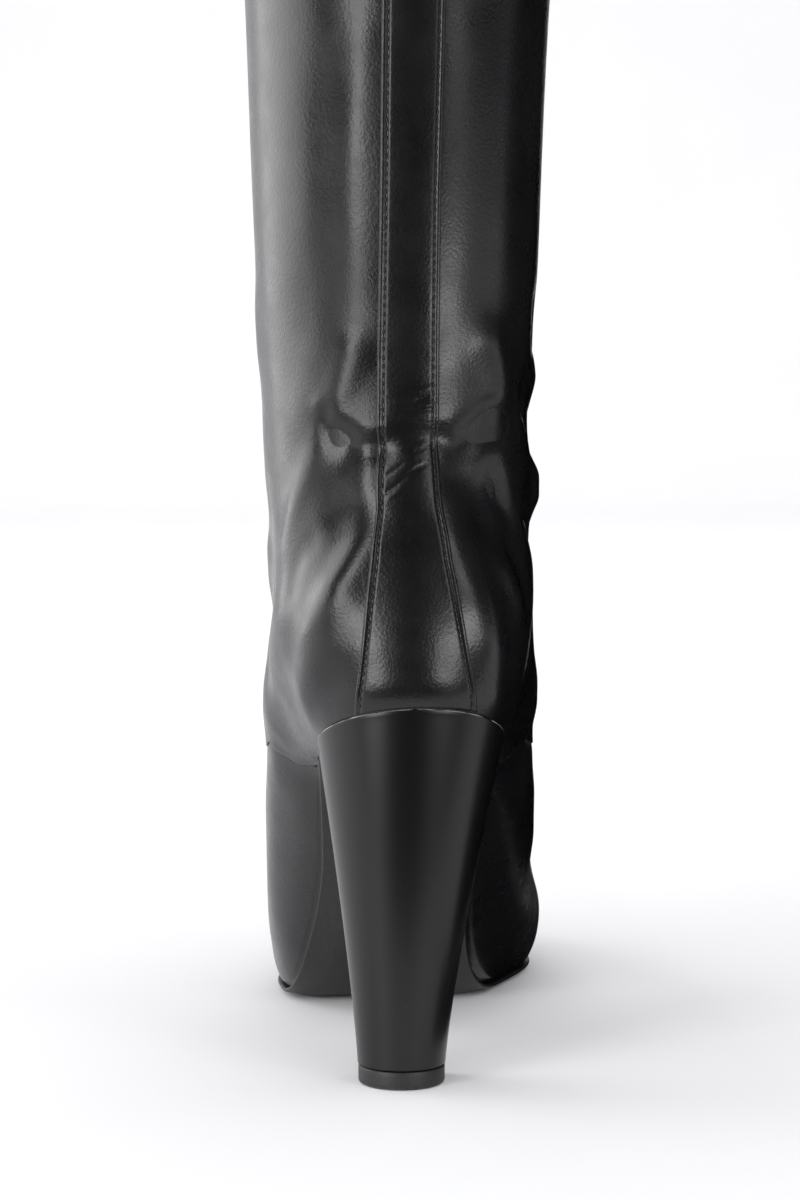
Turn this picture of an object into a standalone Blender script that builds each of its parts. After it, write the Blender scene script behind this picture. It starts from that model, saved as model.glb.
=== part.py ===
"""Left over-the-knee boot in smooth leather on a tall block heel.

Frame: +Z up, the toe points to -Y, the lateral (outer) side is +X. The origin is the middle of the
heel's tread on the floor. Tables are in millimetres. "Forward" is the distance from the origin
towards the toe, so y = -forward.
"""

import bmesh
import bpy
import numpy as np

MM = 0.001

# Driving dimensions, in millimetres.
HEEL_HEIGHT = 105.5        # floor to the upper's underside at the back of the seat
SEAT_BACK = -18.5          # forward place of the back of the heel seat
BREAST = 22.5              # forward place of the heel's front face at the seat
TOE_TIP = 212.0            # forward place of the feather line at the toe
WALL = 2.0                 # leather and lining together
SOLE_THICK = 2.6
MARGIN = 9.0               # upper turned under the insole
INSOLE_THICK = 2.0
GAP = 0.3                  # between pieces that meet
EDGE_INSET = 9.0           # the tread's edge rises by EDGE_LIFT over this breadth
EDGE_LIFT = 1.3
SOLE_EDGE = 1.2            # outsole beyond the feather line
SWING = 21.0               # toe towards the medial side of the heel's axis
SWING_START = 20.0
STRIP_THICK = 1.0
AXIS = -3.0                # the boot stands this far to the medial side of the heel's tip
TIP_HALF = 12.1            # half breadth and rear radius of the heel's tip
TIP_FRONT = 10.4
TIP_DEPTH = 20.8
TIP_THICK = 5.0
TIP_SHRINK = 0.985
SEAT_HALF = 25.8           # half breadth of the heel at the seat
SEAT_RADIUS = 26.0
HEEL_CURVE = 1.22          # the heel narrows quicker near the seat
HEEL_PROUD = 0.4           # the heel stands out behind the seat
BREAST_SHARE = 0.95        # breadth of the heel's front face against its greatest breadth
CORNER_SHARE = 0.06        # its two corners are cut off by this share of the half breadth
END_CLEAR = 0.15           # the sole's and the insole's ends stop short of their rounded tips

# Drop of the sole line per millimetre forward: seat, shank, ball, toe spring.
# The shank's slope is worked out so that the seat reaches HEEL_HEIGHT.
SEAT_SLOPE = 0.43
TOE_SPRING = -0.26
SLOPE_PLACES = (-40.0, BREAST + 4.0, 48.0, 91.0, 115.0, 152.0, 230.0)

# The upper's outer skin: one row per section, named by its height at the centre back.
# leg: 0 follows the sole line, 1 lies flat. Caps: share of the length that rounds off each end.
# Half breadths at heel, waist and ball, lateral then medial.
SECTIONS = (
    # height, back, front, front_z, leg, rear_cap, front_cap, heel, waist, ball, heel, waist, ball
    (0.0, 0.0, 0.0, 0.0, 0.00, 0.12, 0.37, 25.0, 23.0, 40.2, 25.0, 19.0, 39.8),
    (110.0, -20.2, 214.5, 15.5, 0.00, 0.13, 0.37, 27.2, 28.7, 41.9, 27.2, 26.0, 42.2),
    (115.5, -21.4, 212.5, 23.0, 0.00, 0.14, 0.38, 29.0, 33.4, 42.7, 29.0, 32.0, 43.6),
    (122.0, -22.0, 204.0, 30.5, 0.02, 0.15, 0.39, 30.8, 37.4, 42.8, 30.6, 35.8, 43.8),
    (129.5, -21.6, 188.0, 37.5, 0.06, 0.17, 0.40, 32.2, 39.8, 42.0, 32.0, 38.2, 42.2),
    (138.5, -20.2, 165.0, 47.5, 0.14, 0.20, 0.42, 33.6, 40.0, 40.4, 33.0, 39.0, 40.4),
    (149.0, -17.8, 140.0, 64.5, 0.30, 0.25, 0.44, 34.8, 37.4, 37.8, 34.0, 37.6, 38.0),
    (161.0, -15.4, 117.5, 89.0, 0.50, 0.32, 0.46, 36.0, 36.6, 36.6, 34.9, 36.2, 36.2),
    (174.5, -14.2, 99.0, 117.5, 0.72, 0.40, 0.48, 37.0, 37.2, 37.2, 35.4, 35.6, 35.6),
    (189.0, -14.6, 86.5, 148.0, 0.90, 0.46, 0.50, 38.2, 38.2, 38.2, 36.0, 36.0, 36.0),
    (205.0, -16.4, 79.5, 178.0, 1.00, 0.50, 0.50, 39.4, 39.4, 39.4, 36.3, 36.3, 36.3),
    (225.0, -19.2, 77.0, 208.0, 1.00, 0.50, 0.50, 40.8, 40.8, 40.8, 36.9, 36.9, 36.9),
    (255.0, -22.0, 78.5, 246.0, 1.00, 0.50, 0.50, 42.3, 42.3, 42.3, 38.0, 38.0, 38.0),
    (300.0, -24.5, 83.0, 300.0, 1.00, 0.50, 0.50, 44.0, 44.0, 44.0, 40.4, 40.4, 40.4),
    (370.0, -28.5, 89.0, 373.0, 1.00, 0.50, 0.50, 47.9, 47.9, 47.9, 45.9, 45.9, 45.9),
    (440.0, -28.0, 90.0, 444.0, 1.00, 0.50, 0.50, 49.4, 49.4, 49.4, 48.4, 48.4, 48.4),
    (515.0, -24.5, 90.0, 520.0, 1.00, 0.50, 0.50, 50.8, 50.8, 50.8, 50.2, 50.2, 50.2),
    (592.0, -26.5, 97.0, 599.0, 1.00, 0.50, 0.50, 55.5, 55.5, 55.5, 55.5, 55.5, 55.5),
    (668.0, -31.0, 104.0, 677.0, 1.00, 0.50, 0.50, 61.0, 61.0, 61.0, 61.0, 61.0, 61.0),
)
LATERAL_STATIONS = (0.06, 0.34, 0.66)   # share of a section's length at heel, waist and ball
MEDIAL_STATIONS = (0.06, 0.44, 0.75)
MEDIAL_TOE = 0.20                       # the medial side stays straight this much longer

# Back strip: height at the centre back, middle (towards the lateral side) and half breadth.
STRIP = (
    (106.2, 0.6, 17.2),
    (117.0, 1.3, 15.3),
    (131.0, 1.9, 12.8),
    (145.0, 2.2, 10.4),
    (159.0, 2.4, 8.8),
    (178.0, 2.6, 8.1),
    (240.0, 2.4, 7.9),
    (300.0, 1.6, 8.3),
    (667.0, 0.0, 8.6),
)

# Grids.
AROUND = 64                # points round a section of the upper
EDGE_POINTS = 400          # points that a side of the feather line is read at
HEEL_ARC = 25              # points on the heel's round back
HEEL_LEVELS = 8
STRIP_POINTS = 7           # points across the back strip
UPPER_LEVELS = (0.0, 0.6, 1.0, 1.5, 2.0, 2.5, 3.0, 3.5, 4.0, 4.5, 5.0, 5.5, 6.0, 6.5, 7.0, 7.5,
                8.0, 8.5, 9.0, 9.5, 10.0, 11.0, 12.0, 12.5, 13.0, 13.5, 14.0, 15.0, 15.5, 16.0, 16.5,
                17.0, 18.0)


def spline(places, rows, x):
    """Natural cubic spline through the rows, read at x: second slopes from the usual three-term rule."""
    places = np.asarray(places, float)
    rows = np.asarray(rows, float)
    x = np.asarray(x, float)
    step = np.diff(places)
    rise = np.diff(rows, axis=0) / step[:, None]
    count = len(places)
    matrix = np.eye(count)
    right = np.zeros_like(rows)
    for i in range(1, count - 1):
        matrix[i, i - 1:i + 2] = step[i - 1], 2 * (step[i - 1] + step[i]), step[i]
        right[i] = 6 * (rise[i] - rise[i - 1])
    bend = np.linalg.solve(matrix, right)
    i = np.clip(np.searchsorted(places, x) - 1, 0, count - 2)
    a = (places[i + 1] - x)[..., None]
    b = (x - places[i])[..., None]
    h = step[i][..., None]
    return (bend[i] * a ** 3 + bend[i + 1] * b ** 3) / (6 * h) \
        + (rows[i] / h - bend[i] * h / 6) * a + (rows[i + 1] / h - bend[i + 1] * h / 6) * b


def ease(low, high, x):
    """Smooth step from 0 at low to 1 at high."""
    s = np.clip((x - low) / (high - low), 0.0, 1.0)
    return s * s * (3 - 2 * s)


def ramp_area(slopes):
    """Running sum of a slope that changes evenly between SLOPE_PLACES."""
    places = np.array(SLOPE_PLACES)
    slopes = np.array(slopes)
    return np.concatenate([[0.0], np.cumsum(np.diff(places) * (slopes[1:] + slopes[:-1]) / 2)])


def shank_slopes():
    """Slopes at SLOPE_PLACES, the shank's being what brings the seat to HEEL_HEIGHT."""
    def seat_height(shank):
        drops = ramp_area((SEAT_SLOPE, SEAT_SLOPE, shank, shank, 0.0, 0.0, TOE_SPRING))
        to_seat = SEAT_SLOPE * (SEAT_BACK - SLOPE_PLACES[0])
        return SOLE_THICK + GAP + drops[4] - to_seat
    low = seat_height(0.0)
    shank = (HEEL_HEIGHT - low) / (seat_height(1.0) - low)
    return SEAT_SLOPE, SEAT_SLOPE, shank, shank, 0.0, 0.0, TOE_SPRING


SLOPES = shank_slopes()


def sole_slope(forward):
    """Drop per millimetre of the sole line."""
    return np.interp(forward, SLOPE_PLACES, SLOPES)


def sole_line(forward):
    """Height of the upper's underside: the ball's height plus the drop that is still to come."""
    drops = ramp_area(SLOPES)
    places = np.array(SLOPE_PLACES)
    i = np.clip(np.searchsorted(places, forward) - 1, 0, len(places) - 2)
    past = forward - places[i]
    fallen = drops[i] + past * (np.array(SLOPES)[i] + sole_slope(forward)) / 2
    return SOLE_THICK + GAP + drops[4] - fallen


# The first section is the feather line itself, so its place comes from the driving dimensions.
TABLE = np.array(SECTIONS)
TABLE[0, :4] = HEEL_HEIGHT, SEAT_BACK, TOE_TIP, sole_line(TOE_TIP)


def swing(forward):
    """Sideways place of the foot's middle line: the toe curves to the medial side."""
    reach = np.clip((forward - SWING_START) / (TOE_TIP - SWING_START), 0.0, None)
    return AXIS - SWING * reach ** 1.4


def breadth(share, side, row, leg, front_cap, rear_cap):
    """Half breadth along a section: heel, waist and ball run into each other, both ends rounded."""
    lateral = side > 0
    stations = [np.where(lateral, a, b) for a, b in zip(LATERAL_STATIONS, MEDIAL_STATIONS)]
    heel, waist, ball = (np.where(lateral, row[..., i], row[..., i + 3]) for i in range(3))
    width = heel + (waist - heel) * ease(stations[0], stations[1], share)
    width = width + (ball - waist) * ease(stations[1], stations[2], share)
    front = np.where(lateral, front_cap, front_cap * (1 - MEDIAL_TOE * (1 - leg)))
    rear_end = np.clip(1 - share / rear_cap, 0.0, 1.0)
    front_end = np.clip((share - 1 + front) / front, 0.0, 1.0)
    return width * np.sqrt(1 - rear_end ** 2) * np.sqrt(1 - front_end ** 2)


def skin(turn, height):
    """Point of the upper's outer skin, in millimetres (x, forward, z).

    turn goes once round a section: 0 is the centre back, 0.25 lateral, 0.5 the front, 0.75 medial.
    height names the section by its height at the centre back.
    """
    turn, height = np.broadcast_arrays(np.asarray(turn, float), np.asarray(height, float))
    row = spline(TABLE[:, 0], TABLE[:, 1:], height)
    back, front, front_z, leg, rear_cap, front_cap = (row[..., i] for i in range(6))
    leg = np.clip(leg, 0.0, 1.0)
    share = (1 - np.cos(2 * np.pi * turn)) / 2
    side = np.where(np.mod(turn, 1.0) < 0.5, 1.0, -1.0)
    forward = back + (front - back) * share
    half = breadth(share, side, row[..., 6:], leg, front_cap, rear_cap)
    over_back = height - sole_line(back)
    over_front = front_z - sole_line(front)
    foot_z = sole_line(forward) + over_back + (over_front - over_back) * share
    leg_z = height + (front_z - height) * share
    x = side * half + AXIS + (swing(forward) - AXIS) * (1 - leg)
    return np.stack([x, forward, foot_z + (leg_z - foot_z) * leg], axis=-1)


def skin_normal(turn, height):
    """Outward normal of the skin, from small steps round it and up it."""
    around = skin(turn + 1e-3, height) - skin(turn - 1e-3, height)
    up = skin(turn, height + 0.1) - skin(turn, height - 0.1)
    normal = np.cross(around, up)
    normal = normal / np.linalg.norm(normal, axis=-1, keepdims=True)
    middle = (skin(0.0, height) + skin(0.5, height)) / 2
    outward = np.sum(normal * (skin(turn, height) - middle), axis=-1, keepdims=True)
    return normal * np.sign(outward)


def world(points):
    """Millimetres (x, forward, z) to metres in the boot's frame."""
    return points * np.array([1.0, -1.0, 1.0]) * MM


def material(name, colour, roughness):
    """Principled material of one colour (linear RGB) and roughness."""
    made = bpy.data.materials.new(name)
    made.use_nodes = True
    shader = made.node_tree.nodes["Principled BSDF"]
    shader.inputs["Base Color"].default_value = (*colour, 1.0)
    shader.inputs["Roughness"].default_value = roughness
    shader.inputs["Metallic"].default_value = 0.0
    return made


def add_mesh(name, rings, closed, caps, finish):
    """Object skinned over rings of points, ring to ring; caps close the first and the last ring."""
    rings = world(np.asarray(rings))
    work = bmesh.new()
    verts = [[work.verts.new(point) for point in ring] for ring in rings]
    steps = len(verts[0]) if closed else len(verts[0]) - 1
    for low, high in zip(verts[:-1], verts[1:]):
        for i in range(steps):
            j = (i + 1) % len(low)
            work.faces.new((low[j], low[i], high[i], high[j]))
    if caps:
        work.faces.new(verts[0])
        work.faces.new(verts[-1])
        bmesh.ops.recalc_face_normals(work, faces=work.faces)
    mesh = bpy.data.meshes.new(name)
    work.to_mesh(mesh)
    work.free()
    mesh.shade_smooth()
    mesh.set_sharp_from_angle(angle=np.radians(40))
    mesh.materials.append(finish)
    made = bpy.data.objects.new(name, mesh)
    bpy.context.scene.collection.objects.link(made)
    return made


def thicken(piece, thickness, offset):
    """Give an open skin its wall; offset -1 goes inwards, +1 outwards."""
    wall = piece.modifiers.new("wall", "SOLIDIFY")
    wall.thickness = thickness * MM
    wall.offset = offset
    wall.use_even_offset = True


def feather_outline(grow, turn):
    """Plan of the feather line, grown or shrunk evenly: points (x, forward)."""
    edge = skin(turn, HEEL_HEIGHT)[..., :2]
    step = 1e-3
    along = skin(turn + step, HEEL_HEIGHT)[..., :2] - skin(turn - step, HEEL_HEIGHT)[..., :2]
    along = along / np.linalg.norm(along, axis=-1, keepdims=True)
    outward = np.stack([along[..., 1], -along[..., 0]], axis=-1)
    return edge + outward * grow


def stations(low, high):
    """Forward places of the upper's own points between low and high, so that facets match."""
    forward = skin(np.arange(AROUND // 2 + 1) / AROUND, HEEL_HEIGHT)[..., 1]
    return forward[(forward > low) & (forward < high)]


def side_edges(grow, forward):
    """Lateral and medial x of the grown feather line at the given forward places."""
    edges = []
    for turns in (np.linspace(0.0, 0.5, EDGE_POINTS), np.linspace(1.0, 0.5, EDGE_POINTS)):
        outline = feather_outline(grow, turns)
        edges.append(np.interp(forward, outline[:, 1], outline[:, 0]))
    return edges


def ring_heights():
    """Heights of the upper's rings, which the back strip shares so that their facets match."""
    return np.interp(UPPER_LEVELS, range(len(TABLE)), TABLE[:, 0])


def make_upper(finish):
    """Vamp and leg in one wall: margin under the foot, feather line, then up to the topline."""
    turn = np.arange(AROUND) / AROUND
    edge, plan = feather_outline(0.0, turn), feather_outline(-MARGIN, turn)
    near_ends = np.cos(2 * np.pi * turn) ** 4
    plan[:, 1] = edge[:, 1] + (plan[:, 1] - edge[:, 1]) * near_ends
    margin = np.column_stack([plan, sole_line(plan[:, 1])])
    rings = [margin] + [skin(turn, height) for height in ring_heights()]
    upper = add_mesh("upper", rings, closed=True, caps=False, finish=finish)
    thicken(upper, WALL, -1.0)


def turn_at(distance, height):
    """Turn that lies the given distance round the skin from the centre back."""
    turns = np.linspace(0.0, 0.2, 200)
    path = skin(turns, height)
    length = np.concatenate([[0.0], np.cumsum(np.linalg.norm(np.diff(path, axis=0), axis=1))])
    return np.sign(distance) * np.interp(np.abs(distance), length, turns)


def make_back_strip(finish):
    """Overlay over the centre-back join, cut from the skin itself and standing proud of it."""
    table = np.array(STRIP)
    rings = []
    for height in np.clip(ring_heights(), table[0, 0], table[-1, 0]):
        middle, half = (np.interp(height, table[:, 0], column) for column in table[:, 1:].T)
        turn = turn_at(np.linspace(middle - half, middle + half, STRIP_POINTS), height)
        rings.append(skin(turn, height) + skin_normal(turn, height) * GAP)
    strip = add_mesh("back_strip", rings, closed=False, caps=False, finish=finish)
    thicken(strip, STRIP_THICK, 1.0)


def sole_rings(forward, lateral, medial, low, high):
    """Rings across a sheet lying from low to high over the sole line, its lower edges eased."""
    rings = []
    for f, left, right in zip(forward, lateral, medial):
        slant = np.hypot(1.0, sole_slope(f))
        bottom, top = sole_line(f) + low * slant, sole_line(f) + high * slant
        inset = min(EDGE_INSET, (left - right) / 4)
        lift = EDGE_LIFT * inset / EDGE_INSET
        rings.append(((left, f, top), (left, f, bottom + lift), (left - inset, f, bottom),
                      (right + inset, f, bottom), (right, f, bottom + lift), (right, f, top)))
    return np.array(rings)


def make_outsole(finish):
    """Leather sole from the heel breast to the toe: arched shank, flat tread, toe spring."""
    start = BREAST + GAP
    end = TOE_TIP + SOLE_EDGE - END_CLEAR
    tread = SLOPE_PLACES[4:6]
    forward = np.sort(np.concatenate([[start, end], tread, stations(start + 2.0, end - 1.0)]))
    lateral, medial = side_edges(SOLE_EDGE, forward)
    rings = sole_rings(forward, lateral, medial, -GAP - SOLE_THICK, -GAP)
    add_mesh("outsole", rings, closed=True, caps=True, finish=finish)


def make_insole(finish):
    """Lasting board inside, on the turned-under margin."""
    grow = -WALL - 2 * GAP
    back, front = SEAT_BACK - grow + END_CLEAR, TOE_TIP + grow - END_CLEAR
    forward = np.concatenate([[back], stations(back + 1.0, front - 1.0), [front]])
    lateral, medial = side_edges(grow, forward)
    low = WALL + 2 * GAP
    rings = sole_rings(forward, lateral, medial, low, low + INSOLE_THICK)
    add_mesh("insole", rings, closed=True, caps=True, finish=finish)


def heel_outline(half, rear, back, breast, middle):
    """Heel's plan about x = middle: round back, sides drawn in a little, flat breast, eased corners."""
    angle = np.radians(np.linspace(-90.0, 90.0, HEEL_ARC))
    arc = np.column_stack([half * np.sin(angle), back + rear * (1 - np.cos(angle))])
    front = BREAST_SHARE * half
    corner = CORNER_SHARE * half
    tail = np.array([(front, breast - corner), (front - corner, breast)])
    head = tail[::-1] * (-1, 1)
    return np.vstack([arc, tail, head]) + (middle, 0.0)


def make_heel(finish):
    """Block heel: its round-backed plan runs from the seat down to the tip."""
    seat = heel_outline(SEAT_HALF, SEAT_RADIUS, SEAT_BACK - HEEL_PROUD, BREAST, AXIS)
    tip = heel_outline(TIP_HALF, TIP_HALF, TIP_FRONT - TIP_DEPTH, TIP_FRONT, 0.0)
    seat_z = sole_line(seat[:, 1]) - GAP
    tip_z = TIP_THICK + GAP
    rings = []
    for level in np.linspace(0.0, 1.0, HEEL_LEVELS):
        plan = tip + (seat - tip) * level ** HEEL_CURVE
        rings.append(np.column_stack([plan, tip_z + (seat_z - tip_z) * level]))
    add_mesh("heel", rings, closed=True, caps=True, finish=finish)


def make_top_piece(finish):
    """Hard rubber tip under the heel, a little smaller than it."""
    plan = heel_outline(TIP_HALF, TIP_HALF, TIP_FRONT - TIP_DEPTH, TIP_FRONT, 0.0) * TIP_SHRINK
    rings = [np.column_stack([plan, np.full(len(plan), z)]) for z in (0.0, TIP_THICK)]
    add_mesh("top_piece", rings, closed=True, caps=True, finish=finish)


def main():
    for old in list(bpy.data.objects):
        bpy.data.objects.remove(old, do_unlink=True)
    leather = material("black_calf_leather", (0.012, 0.012, 0.013), 0.42)
    make_upper(leather)
    make_back_strip(material("black_strip_leather", (0.013, 0.013, 0.013), 0.40))
    make_outsole(material("black_sole_leather", (0.010, 0.010, 0.010), 0.45))
    make_insole(material("insole_board", (0.05, 0.045, 0.04), 0.70))
    make_heel(material("black_lacquered_heel", (0.012, 0.012, 0.012), 0.30))
    make_top_piece(material("black_hard_rubber", (0.015, 0.015, 0.015), 0.60))


main()
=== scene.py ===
"""Looks of a left over-the-knee boot in black calf on a tall block heel, round its CAD model.

Shoe frame: the origin is the middle of the heel's tread on the floor, +Z up, the toe to -Y, the
outer side of the foot to +X. Sizes are in millimetres and points are (x, forward, z), where forward
is the distance from the origin towards the toe.
"""

import bpy
import numpy as np
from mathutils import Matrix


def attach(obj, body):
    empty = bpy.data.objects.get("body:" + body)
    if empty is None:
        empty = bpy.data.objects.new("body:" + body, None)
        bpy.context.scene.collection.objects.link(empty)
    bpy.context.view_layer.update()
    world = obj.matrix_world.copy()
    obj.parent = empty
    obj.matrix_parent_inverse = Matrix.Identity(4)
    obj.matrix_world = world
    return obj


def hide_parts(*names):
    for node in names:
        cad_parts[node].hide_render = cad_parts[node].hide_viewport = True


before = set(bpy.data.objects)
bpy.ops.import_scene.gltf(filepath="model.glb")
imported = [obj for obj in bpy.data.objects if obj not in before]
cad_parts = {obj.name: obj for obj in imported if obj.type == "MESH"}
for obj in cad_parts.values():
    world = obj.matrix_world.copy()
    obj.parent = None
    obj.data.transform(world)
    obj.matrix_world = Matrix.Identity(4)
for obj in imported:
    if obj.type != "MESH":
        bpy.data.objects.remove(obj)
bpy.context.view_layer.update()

# ---------------------------------------------------------------------------------------------
# The last. The boot's form comes from a wooden last with a raised heel: sections up the foot and
# the leg, each named by its height at the centre back, that run into each other smoothly. Every
# leather piece below is laid over this one skin.

HEEL_HEIGHT = 105.5
SEAT_BACK = -18.5
BREAST = 22.5
TOE_TIP = 212.0
SOLE_THICK = 2.6
GAP = 0.3
AXIS = -3.0
SWING = 21.0
SWING_START = 20.0
SEAT_SLOPE = 0.43
TOE_SPRING = -0.26
SLOPE_PLACES = np.array([-40.0, BREAST + 4.0, 48.0, 91.0, 115.0, 152.0, 230.0])
LATERAL_STATIONS = (0.06, 0.34, 0.66)
MEDIAL_STATIONS = (0.06, 0.44, 0.75)
MEDIAL_TOE = 0.20

SECTIONS = (
    # height, back, front, front_z, leg, rear_cap, front_cap, heel, waist, ball, heel, waist, ball
    (0.0, 0.0, 0.0, 0.0, 0.00, 0.12, 0.37, 25.0, 23.0, 40.2, 25.0, 19.0, 39.8),
    (110.0, -20.2, 214.5, 15.5, 0.00, 0.13, 0.37, 27.2, 28.7, 41.9, 27.2, 26.0, 42.2),
    (115.5, -21.4, 212.5, 23.0, 0.00, 0.14, 0.38, 29.0, 33.4, 42.7, 29.0, 32.0, 43.6),
    (122.0, -22.0, 204.0, 30.5, 0.02, 0.15, 0.39, 30.8, 37.4, 42.8, 30.6, 35.8, 43.8),
    (129.5, -21.6, 188.0, 37.5, 0.06, 0.17, 0.40, 32.2, 39.8, 42.0, 32.0, 38.2, 42.2),
    (138.5, -20.2, 165.0, 47.5, 0.14, 0.20, 0.42, 33.6, 40.0, 40.4, 33.0, 39.0, 40.4),
    (149.0, -17.8, 140.0, 64.5, 0.30, 0.25, 0.44, 34.8, 37.4, 37.8, 34.0, 37.6, 38.0),
    (161.0, -15.4, 117.5, 89.0, 0.50, 0.32, 0.46, 36.0, 36.6, 36.6, 34.9, 36.2, 36.2),
    (174.5, -14.2, 99.0, 117.5, 0.72, 0.40, 0.48, 37.0, 37.2, 37.2, 35.4, 35.6, 35.6),
    (189.0, -14.6, 86.5, 148.0, 0.90, 0.46, 0.50, 38.2, 38.2, 38.2, 36.0, 36.0, 36.0),
    (205.0, -16.4, 79.5, 178.0, 1.00, 0.50, 0.50, 39.4, 39.4, 39.4, 36.3, 36.3, 36.3),
    (225.0, -19.2, 77.0, 208.0, 1.00, 0.50, 0.50, 40.8, 40.8, 40.8, 36.9, 36.9, 36.9),
    (255.0, -22.0, 78.5, 246.0, 1.00, 0.50, 0.50, 42.3, 42.3, 42.3, 38.0, 38.0, 38.0),
    (300.0, -24.5, 83.0, 300.0, 1.00, 0.50, 0.50, 44.0, 44.0, 44.0, 40.4, 40.4, 40.4),
    (370.0, -28.5, 89.0, 373.0, 1.00, 0.50, 0.50, 47.9, 47.9, 47.9, 45.9, 45.9, 45.9),
    (440.0, -28.0, 90.0, 444.0, 1.00, 0.50, 0.50, 49.4, 49.4, 49.4, 48.4, 48.4, 48.4),
    (515.0, -24.5, 90.0, 520.0, 1.00, 0.50, 0.50, 50.8, 50.8, 50.8, 50.2, 50.2, 50.2),
    (592.0, -26.5, 97.0, 599.0, 1.00, 0.50, 0.50, 55.5, 55.5, 55.5, 55.5, 55.5, 55.5),
    (668.0, -31.0, 104.0, 677.0, 1.00, 0.50, 0.50, 61.0, 61.0, 61.0, 61.0, 61.0, 61.0),
)


def spline(places, rows, x):
    """Natural cubic spline through the rows at the places, read at x.

    The second slopes solve the three-term rule between neighbours, with none at the two ends.
    """
    places, rows, x = np.asarray(places, float), np.asarray(rows, float), np.asarray(x, float)
    step = np.diff(places)
    rise = np.diff(rows, axis=0) / step[:, None]
    count = len(places)
    matrix, right = np.eye(count), np.zeros_like(rows)
    for i in range(1, count - 1):
        matrix[i, i - 1:i + 2] = step[i - 1], 2 * (step[i - 1] + step[i]), step[i]
        right[i] = 6 * (rise[i] - rise[i - 1])
    bend = np.linalg.solve(matrix, right)
    i = np.clip(np.searchsorted(places, x) - 1, 0, count - 2)
    a, b, h = (v[..., None] for v in (places[i + 1] - x, x - places[i], step[i]))
    return (bend[i] * a ** 3 + bend[i + 1] * b ** 3) / (6 * h) \
        + (rows[i] / h - bend[i] * h / 6) * a + (rows[i + 1] / h - bend[i + 1] * h / 6) * b


def ease(low, high, x):
    """Smooth step s * s * (3 - 2s), where s runs from 0 at low to 1 at high."""
    s = np.clip((x - low) / (high - low), 0.0, 1.0)
    return s * s * (3 - 2 * s)


def running_drop(slopes):
    """Drop at each of SLOPE_PLACES: the running area under slopes joined by straight lines."""
    slopes = np.asarray(slopes)
    return np.append(0.0, np.cumsum(np.diff(SLOPE_PLACES) * (slopes[1:] + slopes[:-1]) / 2))


def seat_height(shank):
    """Height of the seat's back for a slope of the shank."""
    drops = running_drop((SEAT_SLOPE, SEAT_SLOPE, shank, shank, 0.0, 0.0, TOE_SPRING))
    return SOLE_THICK + GAP + drops[4] - SEAT_SLOPE * (SEAT_BACK - SLOPE_PLACES[0])


SHANK_SLOPE = (HEEL_HEIGHT - seat_height(0.0)) / (seat_height(1.0) - seat_height(0.0))
SLOPES = np.array([SEAT_SLOPE, SEAT_SLOPE, SHANK_SLOPE, SHANK_SLOPE, 0.0, 0.0, TOE_SPRING])
DROPS = running_drop(SLOPES)


def sole_slope(forward):
    """Drop of the sole line per millimetre forward."""
    return np.interp(forward, SLOPE_PLACES, SLOPES)


def sole_line(forward):
    """Height of the upper's underside: the ball's height plus the drop that is still to come."""
    i = np.clip(np.searchsorted(SLOPE_PLACES, forward) - 1, 0, len(SLOPE_PLACES) - 2)
    past = forward - SLOPE_PLACES[i]
    return SOLE_THICK + GAP + DROPS[4] - DROPS[i] - past * (SLOPES[i] + sole_slope(forward)) / 2


TABLE = np.array(SECTIONS)
TABLE[0, :4] = HEEL_HEIGHT, SEAT_BACK, TOE_TIP, sole_line(TOE_TIP)


def breadth(share, lateral, row, leg, front_cap, rear_cap):
    """Half breadth along a section: heel, waist and ball eased together, round at both ends."""
    stations = [np.where(lateral, a, b) for a, b in zip(LATERAL_STATIONS, MEDIAL_STATIONS)]
    heel, waist, ball = (np.where(lateral, row[..., i], row[..., i + 3]) for i in range(3))
    width = heel + (waist - heel) * ease(stations[0], stations[1], share)
    width = width + (ball - waist) * ease(stations[1], stations[2], share)
    front = np.where(lateral, front_cap, front_cap * (1 - MEDIAL_TOE * (1 - leg)))
    rear_end = np.clip(1 - share / rear_cap, 0.0, 1.0)
    front_end = np.clip((share - 1 + front) / front, 0.0, 1.0)
    return width * np.sqrt(1 - rear_end ** 2) * np.sqrt(1 - front_end ** 2)


def skin(turn, height):
    """Point of the last's skin at a turn round a section and the section's height at the back.

    turn 0 is the centre back, 0.25 the outer side, 0.5 the front, 0.75 the inner side. Along the
    section the share is (1 - cos(2 pi turn)) / 2, the half breadth goes to either side of a middle
    line that swings to the inner side at the toe, and the height goes from the sole line's own
    shape in the foot to a straight slant in the leg.
    """
    turn, height = np.broadcast_arrays(np.asarray(turn, float), np.asarray(height, float))
    row = spline(TABLE[:, 0], TABLE[:, 1:], height)
    back, front, front_z, leg, rear_cap, front_cap = (row[..., i] for i in range(6))
    leg = np.clip(leg, 0.0, 1.0)
    share = (1 - np.cos(2 * np.pi * turn)) / 2
    lateral = np.mod(turn, 1.0) < 0.5
    forward = back + (front - back) * share
    half = breadth(share, lateral, row[..., 6:], leg, front_cap, rear_cap)
    over_back = height - sole_line(back)
    over_front = front_z - sole_line(front)
    foot_z = sole_line(forward) + over_back + (over_front - over_back) * share
    leg_z = height + (front_z - height) * share
    reach = np.clip((forward - SWING_START) / (TOE_TIP - SWING_START), 0.0, None)
    x = np.where(lateral, half, -half) + AXIS - SWING * reach ** 1.4 * (1 - leg)
    return np.stack([x, forward, foot_z + (leg_z - foot_z) * leg], axis=-1)


def skin_normal(turn, height):
    """Outward normal: the cross product of small steps up the skin and round it."""
    around = skin(turn + 1e-3, height) - skin(turn - 1e-3, height)
    up = skin(turn, height + 0.1) - skin(turn, height - 0.1)
    normal = np.cross(around, up)
    return normal / np.linalg.norm(normal, axis=-1, keepdims=True)


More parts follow.
